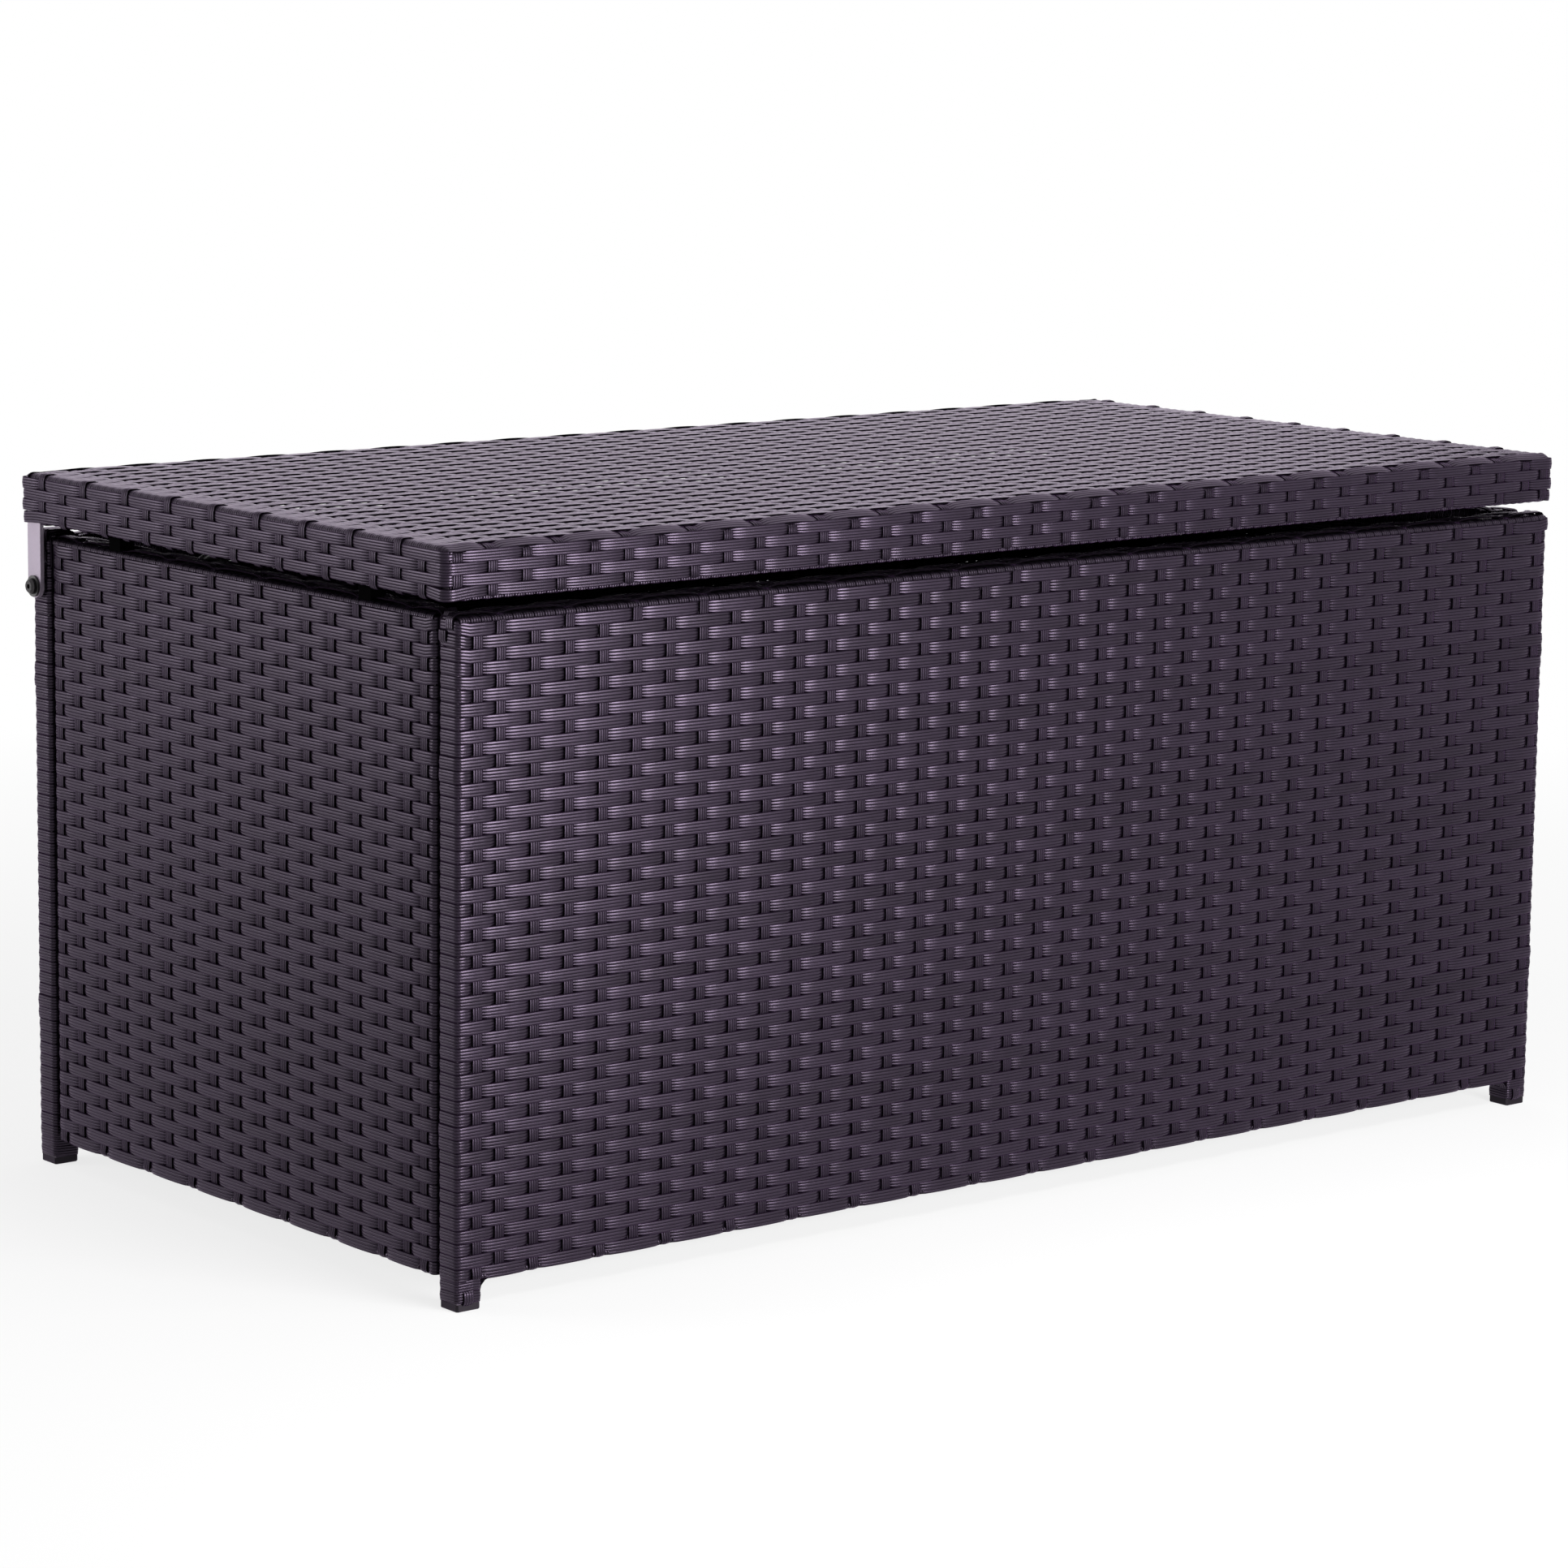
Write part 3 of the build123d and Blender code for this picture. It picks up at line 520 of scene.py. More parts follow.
def row_line(half, face):
    """Round the post, along the wall and round the other post."""
    back = face - tube
    ends = [(half - tube, face - 14 * mm), (half - tube, back), (half, back), (half, face)]
    return Line([(-t, o) for t, o in ends] + ends[::-1], corner_radius)


def stake_line(face):
    """From the lower rail's back, under it, up the wall and over the upper rail."""
    back = face - tube
    points = [(rail_low + 12 * mm, back), (rail_low, back), (rail_low, face), (rail_top, face)]
    return Line([*points, (rail_top, back), (rail_top - 20 * mm, back)], corner_radius)


def lay_rows(braid, half, face, stakes, odd, seat, has_bolts):
    """The fifty rows; the first row counted from the top is odd."""
    line = row_line(half, face)
    edges = line.measure([(-half, face), (half, face)])
    for parity in (True, False):
        dives = line.measure([(place, face) for place in stakes[odd == parity]])
        chosen = row_middles[0 if parity else 1 :: 2]

        def on_wall(along):
            left = smooth((along - edges[0] + post_early) / post_run)
            return left * smooth((edges[1] + post_early - along) / post_run)

        def narrowed(along, lift):
            return pinched(along, lift) * (1 - post_squeeze * (1 - on_wall(along)))

        def height(along, k):
            woven = on_wall(along)
            lift = weaving(along, dives) * woven + corner_lift * (1 - woven)
            if has_bolts:
                swell = sum(np.exp(-(((chosen[k] - z) / bolt_spread) ** 2)) for z in bolt_heights)
                lift = lift + (1 - woven) * swell * bolt_swell
            if has_bolts and parity:
                past = smooth((along - edges[1] + end_run) / end_run)
                lift = lift + (k == 0) * past * end_rise
            return lift

        def rise(along, k):
            share = np.maximum(1 - (2 * k + 1 - parity) / climb_rows, 0)
            return share * (1 - on_wall(along)) * climb

        stops = weave_stops(dives, line, [*edges - 9 * mm, *edges + 9 * mm])
        width = row_pitch * 0.99
        woven = {"pinch": narrowed, "drift": row_drift, "sag": rise, "deep_from": bow}
        braid.lay(line, (0, 1, 2), chosen, stops, height, seat, width, **woven)


# %% [markdown]
# A stake hardly bends: it crosses a row with a short flat wave and is as good as straight between. The
# odd stakes stand out where they loop over the upper rail, and the others under the lower one.

# %% Stakes of a wall
stake_width, stake_drift = 9.2 * mm, 0.12 * mm
stake_up, stake_down = 0.25, 0.55
loop_over, loop_beside, loop_under = 1.6 * mm, 0.2 * mm, 1.5 * mm


def lay_stakes(braid, face, stakes, odd, seat):
    line = stake_line(face)
    up = line.measure([(rows_low, face), (rail_top, face)])
    crossings = line.measure([(z, face) for z in row_middles])
    for parity in (True, False):
        over = crossings[0 if parity else 1 :: 2]

        def height(along, k):
            near = np.abs(along[:, None] - over[None, :]).min(1) / row_pitch
            wave = (stake_up - stake_down * smooth((near - 0.35) / 0.3)) * mm
            top = smooth((along - up[1] + 3 * mm) / (3 * mm))
            bottom = smooth((up[0] + 5 * mm - along) / (5 * mm))
            loop = top * (loop_over if parity else loop_beside)
            return wave * (1 - top) * (1 - bottom) + loop + bottom * (loop_beside if parity else loop_under)

        edge = 0.34 * row_pitch
        places = np.concatenate([crossings - edge, crossings + edge])
        stops = np.concatenate([places[places > up[0] + 6 * mm], line.bends, [0, line.length]])
        chosen = stakes[odd == parity]
        braid.lay(line, (2, 1, 0), chosen, stops, height, seat, stake_width, drift=stake_drift)


for side, half, face, stakes, odd in wall_sides:
    braid = Braid()
    lay_rows(braid, half, face, stakes, odd, seats[side], side in ("front", "back"))
    braid.piece(f"{side}_rows", "box", [f"{side}_weave"])
    braid = Braid()
    lay_stakes(braid, face, stakes, odd, seats[side])
    braid.piece(f"{side}_stakes", "box", [f"{side}_weave"], stake_strand)

# %% [markdown]
# Before it is woven, each rail is wrapped crosswise from end to end, so that no metal shows. Only a fine
# hatch of these turns is seen, along the top of a wall and under its lower edge. Where rows cover a
# turn it sinks, to leave them room.

# %% Wraps round the rails
wrap_pitch = 10 * mm
wrap_width = 9.8 * mm


def wrap_rail(braid, low, face, size, starts, seat, sunk, proud, covered):
    """Turns of strand round a square bar. They stand `proud` of it and sink by `sunk` on the face that
    the rows cover, which starts and ends `covered` past the bar's two edges."""
    high, back = low + size, face - size
    ring = [(low, back + size / 2), (low, face), (high, face), (high, back), (low, back)]
    line = Line([*ring, (low, back + 0.6 * size)], min(1.4 * mm, 0.2 * size))
    edges = line.measure([(low, face), (high, face)])

    def height(along, k):
        inside = smooth((along - edges[0] - covered[0]) / (2 * mm))
        inside = inside * smooth((edges[1] + covered[1] - along) / (2 * mm))
        return proud - (sunk + proud) * inside

    beside_low = edges[0] + np.array([-5, -3, 2.4]) * mm
    beside_high = edges[1] + np.array([-3.2, 3, 5]) * mm
    stops = np.concatenate([line.bends, beside_low, beside_high])
    braid.lay(line, (2, 1, 0), starts, stops, height, seat, wrap_width)


turn_inset = 5.2 * mm
rail_sunk = 1.35 * mm
for side, half, face, stakes, odd in wall_sides:
    run = half - turn_inset
    starts = np.linspace(-run, run, round(2 * run / wrap_pitch) + 1)
    between = starts[np.abs(starts) < half - tube]
    upper_covered, lower_covered = (-5 * mm, -1.2 * mm), (0.5 * mm, 5 * mm)
    upper_low = rail_top - tube
    braid = Braid()
    wrap_rail(braid, upper_low, face, tube, starts, seats[side], rail_sunk, 1.3 * mm, upper_covered)
    wrap_rail(braid, rail_low, face, tube, between, seats[side], rail_sunk, 0.3 * mm, lower_covered)
    braid.piece(f"{side}_rail_wraps", "box", [f"{side}_weave"], rail_strand)

# %% [markdown]
# Over the wrapped upper rail the weave goes on: two strands run lengthwise and cross the stakes that
# loop over the rail, the outer one over every second stake and the inner one over the others. At both
# ends they bend down over the post's end and tuck under a row.

# %% Strands along the rails
outer_inset, inner_inset = 8.2 * mm, 17.0 * mm
rail_bow, rail_dip = 1.8 * mm, 0.6 * mm
rail_rise = 2.6 * mm
tuck_out, tuck_in = 1.6 * mm, 3.3 * mm


def lay_rail_strands(braid, half, face, stakes, odd, seat):
    top = rail_top + rail_rise
    for inset, over, rows_down in ((outer_inset, True, 2), (inner_inset, False, 3)):
        low = rail_top - (rows_down + 0.4) * row_pitch
        line = Line([(-half, low), (-half, top), (half, top), (half, low)], 3 * mm)
        edges = line.measure([(-half, top), (half, top)])
        dives = line.measure([(place, top) for place in stakes[odd == over]])
        tucks = (rows_down - 1) * row_pitch

        def height(along, k):
            lift = weaving(along, dives, rail_bow, rail_dip)
            past = np.maximum(edges[0] - along, along - edges[1])
            down = smooth((past + 8 * mm) / (8 * mm))
            under = smooth((past - tucks + 2 * mm) / (4 * mm))
            if not over:
                under = under + smooth((past + 2 * mm) / (2 * mm)) * smooth((row_pitch - past) / (2 * mm))
            return lift * (1 - down) + down * (tuck_out - tuck_in * under)

        gaps = [1 * mm, 4 * mm, row_pitch - 2 * mm, row_pitch, tucks - 3 * mm, tucks, tucks + 3 * mm]
        extra = np.concatenate([edges[0] - gaps, edges[1] + gaps])
        stops = weave_stops(dives, line, extra)
        braid.lay(line, (0, 2, 1), [face - inset], stops, height, seat, stake_width)


for side, half, face, stakes, odd in wall_sides:
    braid = Braid()
    lay_rail_strands(braid, half, face, stakes, odd, seats[side])
    braid.piece(f"{side}_rail_strands", "box", [f"{side}_weave"], rail_strand)

# %% [markdown]
# Where the strands meet at the top of a back post, their ends are bound over the post in a few loops,
# one on the other, which fill the corner under the lid.

# %% Loops over the back posts
loop_sizes = ((3.2 * mm, 30 * mm), (5.4 * mm, 26 * mm), (7.6 * mm, 22 * mm))
loop_insets = (7.0 * mm, 15.5 * mm)
loop_foot = rail_top - 3 * mm
braid = Braid()
for end in (-1, 1):
    for rise, reach_in in loop_sizes:
        left, right = sorted([(long_half - 0.6 * mm) * end, (long_half - reach_in) * end])
        top = rail_top + rise
        line = Line([(left, loop_foot), (left, top), (right, top), (right, loop_foot)], 2.6 * mm)

        def height(along, k):
            return 0.6 * mm * np.sin(math.pi * (along / line.length))

        for inset in loop_insets:
            stops = np.concatenate([line.bends, np.linspace(0, line.length, 8)])
            braid.lay(line, (0, 2, 1), [long_face - inset], stops, height, seats["back"], 9.0 * mm)
braid.piece("back_post_loops", "box", ["back_weave"], rail_strand)

# %% [markdown]
# Below the walls each post stands on a plastic foot. Two turns of strand close the post down to the foot,
# and a strand's end is tucked up the front of the turns. In the corner between a leg and the wall's
# lower edge a few strands bend round, one inside the other, and fill it with a curve.

# %% Leg wraps
foot_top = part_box("leg_wraps")[0].z
leg_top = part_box("leg_wraps")[1].z
turn_middles = foot_top + (leg_top - foot_top) * np.array([0.26, 0.78])
turn_lean = 0.9 * mm
end_places = np.array([3.5, 6, 8.5, 10, 11.5, 13, 15]) * mm
fill_turns = (10.5 * mm, 7.5 * mm, 4.5 * mm)
fill_insets = (5.6 * mm, tube - 5.6 * mm)


def lay_turns(braid, left, right, seat):
    middle, back = (left + right) / 2, long_face - tube
    ring = [(middle, long_face), (right, long_face), (right, back), (left, back), (left, long_face)]
    line = Line([*ring, (middle + 3 * mm, long_face)], corner_radius)

    def height(along, k):
        return 0.05 * mm + 0.7 * mm * smooth((along - line.length + 6 * mm) / (5 * mm))

    braid.lay(line, (0, 1, 2), turn_middles, line.bends, height, seat, 9.0 * mm, drift=turn_lean)


def lay_end(braid, middle, seat):
    """A strand's end, up the front of the turns and in under the wall's lowest row."""
    low = foot_top + 0.5 * mm
    line = Line([(low, long_face - 3 * mm), (low, long_face), (foot_top + 20 * mm, long_face)], 2 * mm)

    def height(along, k):
        return (1.8 - 3.4 * smooth((along - 9.5 * mm) / (3 * mm))) * mm

    braid.lay(line, (2, 1, 0), [middle], [*line.bends, *end_places], height, seat, 9.6 * mm)


def lay_fill(braid, inside, end, seat):
    for turn in fill_turns:
        corner = (inside, rows_low)
        under = [(inside - end * (turn + 5 * mm), rows_low), corner, (inside, rows_low - turn - 2 * mm)]
        line = Line(under[:: end * -1], turn)

        def height(along, k):
            return 0.0 * along - 1.0 * mm

        stops = [*line.bends, 0.5 * line.length]
        middles = [long_face - inset for inset in fill_insets]
        braid.lay(line, (0, 2, 1), middles, stops, height, seat, 10.4 * mm)


braid = Braid()
for side in ("front", "back"):
    for end in (-1, 1):
        inside = (long_half - tube) * end
        left, right = sorted([long_half * end, inside])
        lay_turns(braid, left, right, seats[side])
        lay_end(braid, (left + right) / 2 - 1.5 * mm, seats[side])
        lay_fill(braid, inside, end, seats[side])
braid.piece("leg_strands", "box", ["leg_wraps"])

# %% [markdown]
# The lid is woven in one go. Four ring rows run unbroken round its sides. Long stakes climb the front
# over and under the ring rows, cross the top and go down the back. The top's own rows run from end to
# end, lie flat over the end edges and tuck in behind the ring rows.

# %% Lid measures from the frame
front_skirt, back_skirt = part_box("lid_front_skirt"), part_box("lid_back_skirt")
lid_middle = np.array([0, (front_skirt[0].y + back_skirt[1].y) / 2, 0])
frame_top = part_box("lid_long_rails")[1].z
skirt_low = front_skirt[0].z
lid_long, lid_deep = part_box("lid_left_skirt")[0].x * -1, lid_middle[1] - front_skirt[0].y
rim_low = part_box("lid_rim_long_bars")[0].z
rim_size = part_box("lid_rim_long_bars")[1].z - rim_low
top_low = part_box("lid_top_weave")[1].z
ring_rows = 4
rim_shows = 2.4 * mm
ring_high = frame_top + 1.4 * mm
ring_pitch = (ring_high - skirt_low - rim_shows) / ring_rows
ring_long, ring_deep = lid_long - 2.8 * mm, lid_deep - 2.8 * mm
stake_deep, stake_long = ring_deep - 0.5 * mm, ring_long - 0.5 * mm
lid_seat = (np.eye(3), lid_middle)
lid_seat_turned = (np.diag([-1, -1, 1]), lid_middle)
print("lid half sizes", round(lid_long, 4), round(lid_deep, 4), "ring pitch", round(ring_pitch / mm, 2), "mm")

# %% Places of the lid's stakes and rows
top_stakes = np.concatenate([13 + 32.51 * np.arange(37), [1206.5]]) * mm - lid_long
side_stakes = (33 + 32.29 * np.arange(18)) * mm - lid_deep
stake_even, side_even = np.arange(38) % 2 == 0, np.arange(18) % 2 == 0
ring_middles = ring_high - ring_pitch * (np.arange(ring_rows) + 0.5)
top_rows = 56
outermost_inset = 6.9 * mm
top_pitch = (2 * (lid_deep - 0.9 * mm) - 24 * mm) / (top_rows - 2)
top_middles = -lid_deep + 12.9 * mm + top_pitch * (np.arange(top_rows) - 0.5)
top_middles[0], top_middles[-1] = -lid_deep + outermost_inset, lid_deep - outermost_inset
print("top row pitch", round(top_pitch / mm, 2), "mm")

# %% [markdown]
# The ring rows are woven as the walls' rows are, with a flatter bow. Round a corner they keep out, so
# that they don't cut through the frame, and the lowest hangs a little there.

# %% Ring rows
lid_bow, lid_dip = 1.6 * mm, 1.3 * mm
corner_least, corner_spread = 0.4 * mm, 6 * mm
corner_hang, hang_spread = 2.0 * mm, 16 * mm


def lid_pinched(along, lift):
    return 1.03 - 0.03 * np.clip((lid_bow - lift) / (lid_bow + lid_dip), 0, 1)


braid = Braid()
corners = [(ring_long, ring_deep), (ring_long, -ring_deep), (-ring_long, -ring_deep), (-ring_long, ring_deep)]
ring = Line([(0, ring_deep), *corners, (6 * mm, ring_deep)], 5 * mm)
ring_corners = ring.measure(corners)
for first in (0, 1):
    front = top_stakes[stake_even == (first == 0)]
    behind = top_stakes[stake_even == (first == 1)]
    ends = side_stakes[side_even == (first == 1)]
    spots = [(x, -ring_deep) for x in front] + [(x, ring_deep) for x in behind]
    spots += [(side * ring_long, y) for y in ends for side in (-1, 1)]
    dives = np.sort(ring.measure(spots))

    def height(along, k):
        lift = weaving(along, dives, lid_bow, lid_dip)
        corner = sum(np.exp(-(((along - c) / corner_spread) ** 2)) for c in ring_corners)
        return lift + (np.maximum(lift, corner_least) - lift) * corner

    def hang(along, k):
        near = [np.exp(-(((along - c) / hang_spread) ** 2)) for c in ring_corners]
        return -corner_hang * sum(near) * (2 * k + first == ring_rows - 1)

    extra = np.concatenate([ring_corners - hang_spread, ring_corners + hang_spread])
    stops = weave_stops(dives, ring, extra)
    chosen, width = ring_middles[first::2], ring_pitch * 1.02
    woven = {"pinch": lid_pinched, "drift": row_drift, "sag": hang, "deep_from": lid_bow}
    braid.lay(ring, (0, 1, 2), chosen, stops, height, lid_seat, width, **woven)
skirts = ["lid_front_skirt", "lid_back_skirt", "lid_left_skirt", "lid_right_skirt"]
braid.piece("lid_ring_rows", "lid", skirts)

# %% [markdown]
# A long stake starts inside the rim, goes round under it and up the front. Over the lid's edge it slants
# inwards, crosses the top and goes down the back the same way. `stake_wave` lifts a stake where it
# crosses over a row and lets it sit low where it passes under.

# %% Long stakes of the lid
rim_under = skirt_low + 0.6 * mm
slant_low, slant_in = frame_top - 0.2 * mm, stake_deep - 8.8 * mm
over_top_row, over_ring_row = 0.55 * mm, 0.9 * mm
stake_sink = 0.1 * mm


def stake_wave(along, over, pitch, lift):
    near = np.abs(along[:, None] - np.asarray(over)[None, :]).min(1) / pitch
    return lift * (1 - smooth((near - 0.34) / 0.32))


braid = Braid()
inner = stake_deep - 13 * mm
points = [(-inner, rim_low + 12 * mm), (-inner, rim_under), (-stake_deep, rim_under)]
points += [(-stake_deep, slant_low), (-slant_in, top_low)]
points += [(-y, z) for y, z in points[::-1]]
line = Line(points, 3.6 * mm)
every_top = line.measure([(y, top_low) for y in top_middles])
every_skirt = line.measure([(side * stake_deep, z) for z in ring_middles for side in (-1, 1)])
beside_top, beside_ring = 0.3 * top_pitch, 0.33 * ring_pitch
stops = [every_top - beside_top, every_top + beside_top, every_skirt - beside_ring, every_skirt + beside_ring]
stops = np.concatenate([*stops, line.bends])
for even in (True, False):
    chosen = top_stakes[stake_even == even]
    front = ring_middles[0 if even else 1 :: 2]
    behind = ring_middles[1 if even else 0 :: 2]
    across_top = top_middles[1 if even else 0 :: 2]
    spots = [(y, top_low if abs(y) < slant_in else slant_low + 1.7 * mm) for y in across_top]
    top_over = line.measure(spots)
    skirt_over = line.measure([(-stake_deep, z) for z in front] + [(stake_deep, z) for z in behind])
    edge_stake = 0 if even else len(chosen) - 1

    def height(along, k):
        lift = stake_wave(along, top_over, top_pitch, over_top_row) * (k != edge_stake)
        return lift + stake_wave(along, skirt_over, ring_pitch, over_ring_row) - stake_sink

    braid.lay(line, (1, 2, 0), chosen, stops, height, lid_seat, stake_width, drift=stake_drift)
braid.piece("lid_long_stakes", "lid", ["lid_top_weave", "lid_front_skirt", "lid_back_skirt"], stake_strand)

# %% [markdown]
# A top row weaves between the end edges and lies flat where it bends over them. The outermost row on
# each side is tilted, and rounds off the lid's long edge between the top and the ring rows.

# %% Top rows of the lid
top_bow, top_dip = 1.7 * mm, 1.2 * mm
top_shade_from = 0.8 * mm
edge_flat, edge_lift = 10 * mm, 0.45 * mm
slant_drop, slant_tilt, slant_width = 1.7 * mm, 0.45, 10.2 * mm
fold = stake_long - 1.2 * mm
fold_low = frame_top - 9 * mm
line = Line([(-fold, fold_low), (-fold, top_low), (fold, top_low), (fold, fold_low)], 2.6 * mm)
edges = line.measure([(-fold, top_low), (fold, top_low)])
braid = Braid()
for first in (0, 1):
    crossed = (np.abs(top_stakes) < lid_long - 20 * mm) & (stake_even == (first == 1))
    dives = line.measure([(x, top_low) for x in top_stakes[crossed]])

    def height(along, k):
        woven = smooth((along - edges[0] - edge_flat) / (16 * mm))
        woven = woven * smooth((edges[1] - along - edge_flat) / (16 * mm))
        return weaving(along, dives, top_bow, top_dip) * woven + edge_lift * (1 - woven)

    def slanted(along, k):
        past = smooth((along - edges[0] + 3 * mm) / (8 * mm))
        past = past * smooth((edges[1] + 3 * mm - along) / (8 * mm))
        return height(along, k) - slant_drop * past

    stops = weave_stops(dives, line, [*edges - 9 * mm, *edges + 9 * mm])
    chosen, width = top_middles[first::2], top_pitch * 1.045
    outermost, inner_rows = (chosen[0], chosen[1:]) if first == 0 else (chosen[-1], chosen[:-1])
    woven = {"pinch": lid_pinched, "drift": row_drift, "deep_from": top_shade_from}
    braid.lay(line, (0, 2, 1), inner_rows, stops, height, lid_seat, width, **woven)
    tilt = slant_tilt if first == 0 else -slant_tilt
    tilted = {"drift": 0.05 * mm, "deep_from": lid_bow - slant_drop, "tilt": tilt}
    braid.lay(line, (0, 2, 1), [outermost], stops, slanted, lid_seat, slant_width, **tilted)
braid.piece("lid_top_rows", "lid", ["lid_top_weave"])

# %% [markdown]
# The end stakes start inside the rim as the long ones do. Every second one ends tucked under the top's
# edge, and the others bend over it and end flat on the top.

# %% End stakes of the lid
braid = Braid()
inner = stake_long - 13 * mm
tucked_high, over_high = frame_top - 1 * mm, top_low + 1.9 * mm
up = [(-inner, rim_low + 12 * mm), (-inner, rim_under), (-stake_long, rim_under)]
tucked_line = Line([*up, (-stake_long, tucked_high), (-stake_long + 3 * mm, tucked_high)], 1.6 * mm)
over_line = Line([*up, (-stake_long, over_high), (13 * mm - lid_long + 4 * mm, over_high)], 2.4 * mm)
for seat, flip in ((lid_seat, 1), (lid_seat_turned, -1)):
    for even, line in ((True, tucked_line), (False, over_line)):
        over = line.measure([(-stake_long, z) for z in ring_middles[1 if even else 0 :: 2]])
        every = line.measure([(-stake_long, z) for z in ring_middles])

        def height(along, k):
            sink = smooth((along - line.length + 6 * mm) / (6 * mm)) * 1.6 * mm
            return stake_wave(along, over, ring_pitch, over_ring_row) - stake_sink - sink

        stops = [every - beside_ring, every + beside_ring, line.bends, [line.length - 6 * mm]]
        stops = np.concatenate(stops)
        chosen = flip * side_stakes[side_even == even]
        braid.lay(line, (0, 2, 1), chosen, stops, height, seat, stake_width, drift=stake_drift)
braid.piece("lid_end_stakes", "lid", ["lid_left_skirt", "lid_right_skirt"], stake_strand)

# %% [markdown]
# The rim bars are wrapped as the rails are. Seen from outside, the turns are a fine slanted hatch under
# the lowest ring row.

# %% Wraps round the rim
braid = Braid()
long_turns = np.arange(-lid_long + 12 * mm, lid_long - 12 * mm, wrap_pitch)
end_turns = np.arange(-lid_deep + 12 * mm, lid_deep - 12 * mm, wrap_pitch)
rim_deep, rim_long = ring_deep - 0.2 * mm, ring_long - 4.7 * mm
rim_sunk, rim_proud, rim_covered = 1.6 * mm, 1.2 * mm, (-0.6 * mm, 5 * mm)
sideways = np.array([[0, -1, 0], [1, 0, 0], [0, 0, 1]])
for matrix, face, turns in (
    (np.diag([1, -1, 1]), rim_deep, long_turns),
    (np.eye(3), rim_deep, long_turns),
    (sideways, rim_long, end_turns),
    (np.diag([-1, 1, 1]) @ sideways, rim_long, end_turns),
):
    wrap_rail(braid, rim_low, face, rim_size, turns, (matrix, lid_middle), rim_sunk, rim_proud, rim_covered)
braid.piece("lid_rim_wraps", "lid", skirts)

# %% [markdown]
# The other parts keep their CAD shape and get their finish by material slot. Powder coat has a faint
# orange peel, moulded plastic a fine grain, and plated steel is bright with small changes in its shine.

# %% Finishes of the carried-over parts
def plain_finish(name, dark, light, roughness, grain_scale, depth, **constants):
    made = Finish(name, **constants)
    cloud = made.noise(28.0, 4.0)
    fine = made.noise(grain_scale, 3.0)
    share = (cloud * 0.7 + fine * 0.6 - 0.15).clamped()
    made.vary("Base Color", made.shades(dark, light, share))
    made.vary("Roughness", roughness + (cloud - 0.5) * 0.16 + (fine - 0.5) * 0.08)
    made.bump(fine, depth)
    return made.material


def grey(level):
    return (level, level * 0.93, level)


plum_tint = (0.92, 0.7, 1.0, 1)
moulded = {"Specular_IOR_Level": 0.3, "Specular_Tint": (0.9, 0.72, 1.0, 1), "Metallic": 0.6}
dull = {"Specular_IOR_Level": 0.1, "Specular_Tint": (0.3, 0.25, 0.33, 1), "Metallic": 0.8}
bar_dark, bar_light = (0.25, 0.205, 0.265), (0.33, 0.275, 0.345)
slot_finishes = {
    "frame_tube": plain_finish(
        "powder_coat", grey(0.005), grey(0.012), 0.46, 900.0, 0.05 * mm, Specular_Tint=plum_tint
    ),
    "foot_plastic": plain_finish(
        "foot_plastic", grey(0.004), grey(0.009), 0.5, 1500.0, 0.06 * mm, **moulded
    ),
    "hinge_arm": plain_finish("satin_bar", bar_dark, bar_light, 0.4, 700.0, 0.04 * mm, Metallic=0.3),
    "hinge_black": plain_finish("black_nylon", grey(0.007), grey(0.014), 0.3, 1300.0, 0.03 * mm),
    "bolt_black": plain_finish(
        "black_oxide", grey(0.02), grey(0.045), 0.26, 900.0, 0.02 * mm, Metallic=0.85
    ),
    "zinc_fastener": plain_finish(
        "zinc_plate", grey(0.4), grey(0.6), 0.3, 800.0, 0.02 * mm, Metallic=1.0
    ),
    "floor_board": plain_finish("floor_sheet", grey(0.012), grey(0.026), 0.5, 500.0, 0.12 * mm),
    "pad_rubber": plain_finish(
        "pad_rubber", grey(0.0006), grey(0.0015), 0.85, 1200.0, 0.08 * mm, **dull
    ),
    "strut_bracket": plain_finish("bracket_paint", grey(0.01), grey(0.018), 0.38, 800.0, 0.04 * mm),
    "strut_tube": plain_finish("strut_paint", grey(0.008), grey(0.014), 0.22, 600.0, 0.02 * mm),
    "strut_rod": plain_finish(
        "polished_rod", grey(0.55), grey(0.66), 0.12, 500.0, 0.005 * mm, Metallic=1.0
    ),
    "woven_strand": row_strand,
}
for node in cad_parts.values():
    for place in node.material_slots:
        place.material = slot_finishes[place.material.name.split(".")[0]]
print("finishes:", len(slot_finishes))

# %% [markdown]
# The studio is a pale floor and a white surround. The surround is white to the camera and in
# reflections, and dimmer as a light. The floor fades to the same white away from the box and keeps the
# box's shadow.

# %% World and floor
world_light = 0.24
world = bpy.data.worlds.new("studio")
scene.world = world
world.use_nodes = True
tree = world.node_tree
path = tree.nodes.new("ShaderNodeLightPath")
through = tree.nodes.new("ShaderNodeMath")
through.operation = "MAXIMUM"
tree.links.new(path.outputs["Is Camera Ray"], through.inputs[0])
tree.links.new(path.outputs["Is Transmission Ray"], through.inputs[1])
white = tree.nodes.new("ShaderNodeMath")
white.operation = "MAXIMUM"
tree.links.new(through.outputs[0], white.inputs[0])
tree.links.new(path.outputs["Is Glossy Ray"], white.inputs[1])
strength = tree.nodes.new("ShaderNodeMapRange")
strength.inputs["To Min"].default_value = world_light
strength.inputs["To Max"].default_value = 1.0
tree.links.new(white.outputs[0], strength.inputs["Value"])
tree.links.new(strength.outputs[0], tree.nodes["Background"].inputs["Strength"])
tree.nodes["Background"].inputs["Color"].default_value = (1, 1, 1, 1)

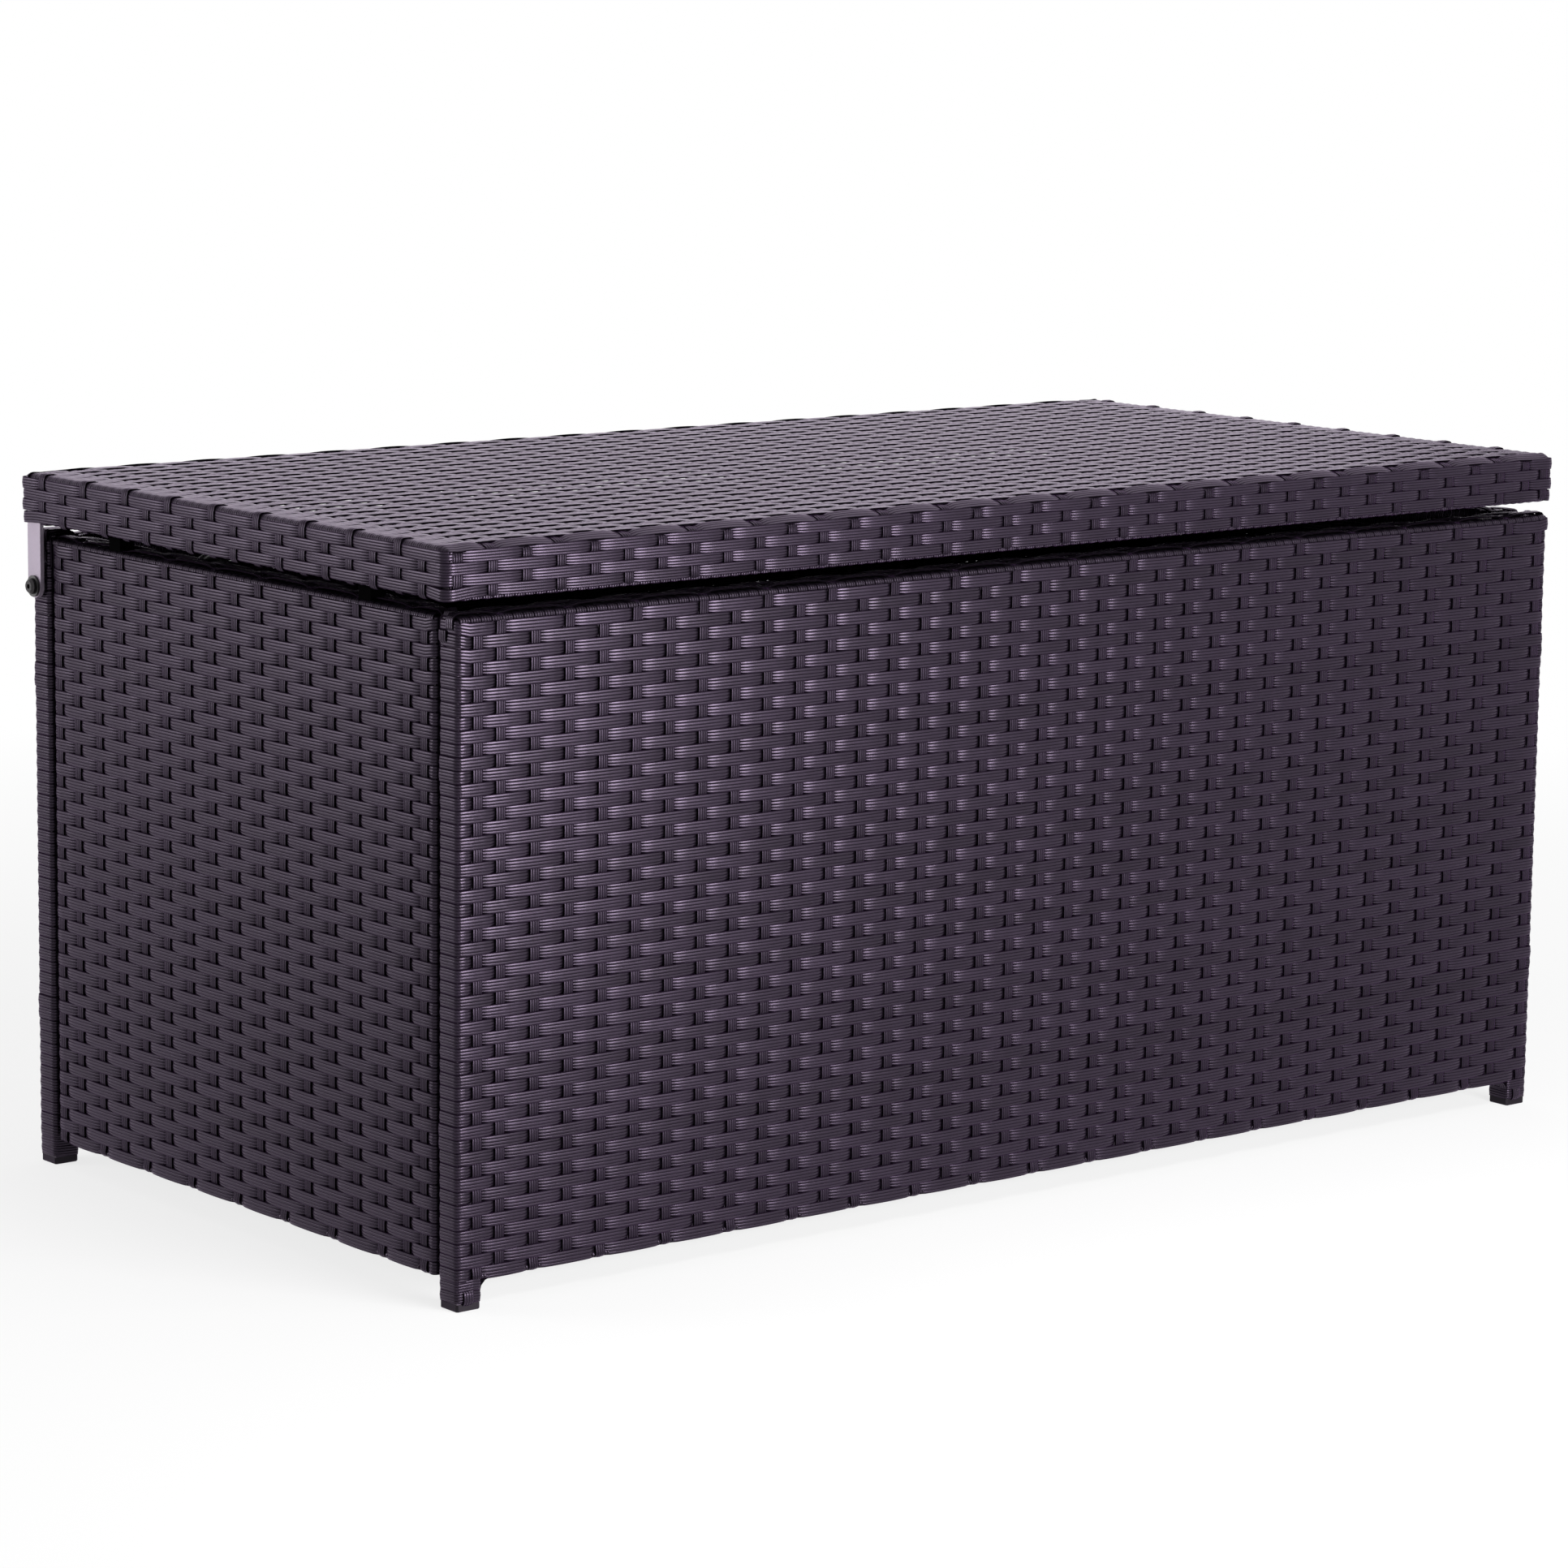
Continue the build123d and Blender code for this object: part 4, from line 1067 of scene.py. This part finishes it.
floor_mesh = bpy.data.meshes.new("floor")
bm = bmesh.new()
bmesh.ops.create_grid(bm, x_segments=2, y_segments=2, size=12)
bm.to_mesh(floor_mesh)
bm.free()
floor = bpy.data.objects.new("floor", floor_mesh)
scene.collection.objects.link(floor)
pale = Finish("pale_floor", Base_Color=(0.86, 0.86, 0.86, 1), Roughness=0.9)
spot = pale.node("TexCoord", {}, {}, "Object")
far = pale.node("VectorMath", {"operation": "LENGTH"}, {0: spot}, 1)
fade = pale.node("MapRange", {}, {"Value": far, "From Min": 0.9, "From Max": 2.4, "To Min": 0.78})
seen = pale.node("LightPath", {}, {}, "Is Camera Ray") + pale.node("LightPath", {}, {}, "Is Glossy Ray")
glow = pale.node("Emission", {}, {"Strength": 1.0})
mix = pale.node("MixShader", {}, {0: (fade * seen).math("MINIMUM", 1.0)})
pale.tree.links.new(pale.shader.outputs[0], mix.socket.node.inputs[1])
pale.tree.links.new(glow.socket, mix.socket.node.inputs[2])
pale.tree.links.new(mix.socket, pale.tree.nodes["Material Output"].inputs["Surface"])
floor_mesh.materials.append(pale.material)
print("studio ready")

# %% [markdown]
# Five large soft lamps light the box. The key lamp stands low in front, where the left flank of each bow
# reflects it, so the bows sparkle on one side. The front lamp does the same weakly from above, the left
# lamp lights the end wall, and the top and back lamps keep the lid and the back from going dull.

# %% Lamps


def lamp(name, place, aim, size, power):
    data = bpy.data.lights.new(name, "AREA")
    data.shape = "RECTANGLE"
    data.size, data.size_y = size
    data.energy = power
    made = bpy.data.objects.new(name, data)
    scene.collection.objects.link(made)
    way = Vector(aim) - Vector(place)
    made.matrix_world = Matrix.Translation(place) @ way.to_track_quat("-Z", "Y").to_matrix().to_4x4()


lamp("key_lamp", (-0.03, -2.15, 0.43), (-0.45, -0.3, 0.3), (1.0, 0.78), 92)
lamp("front_lamp", (0.45, -1.95, 1.9), (0.1, -0.3, 0.5), (2.2, 0.35), 26)
lamp("top_lamp", (0.2, 0.6, 2.8), (0, 0, 0.5), (3.0, 2.0), 18)
lamp("back_lamp", (1.9, 2.7, 1.25), (0, 0, 0.6), (2.4, 0.9), 8)
lamp("left_lamp", (-2.3, 1.5, 0.7), (-0.6, 0, 0.3), (1.2, 1.0), 27)
scene.view_settings.view_transform = "Standard"
print("lamps:", len(bpy.data.lights))
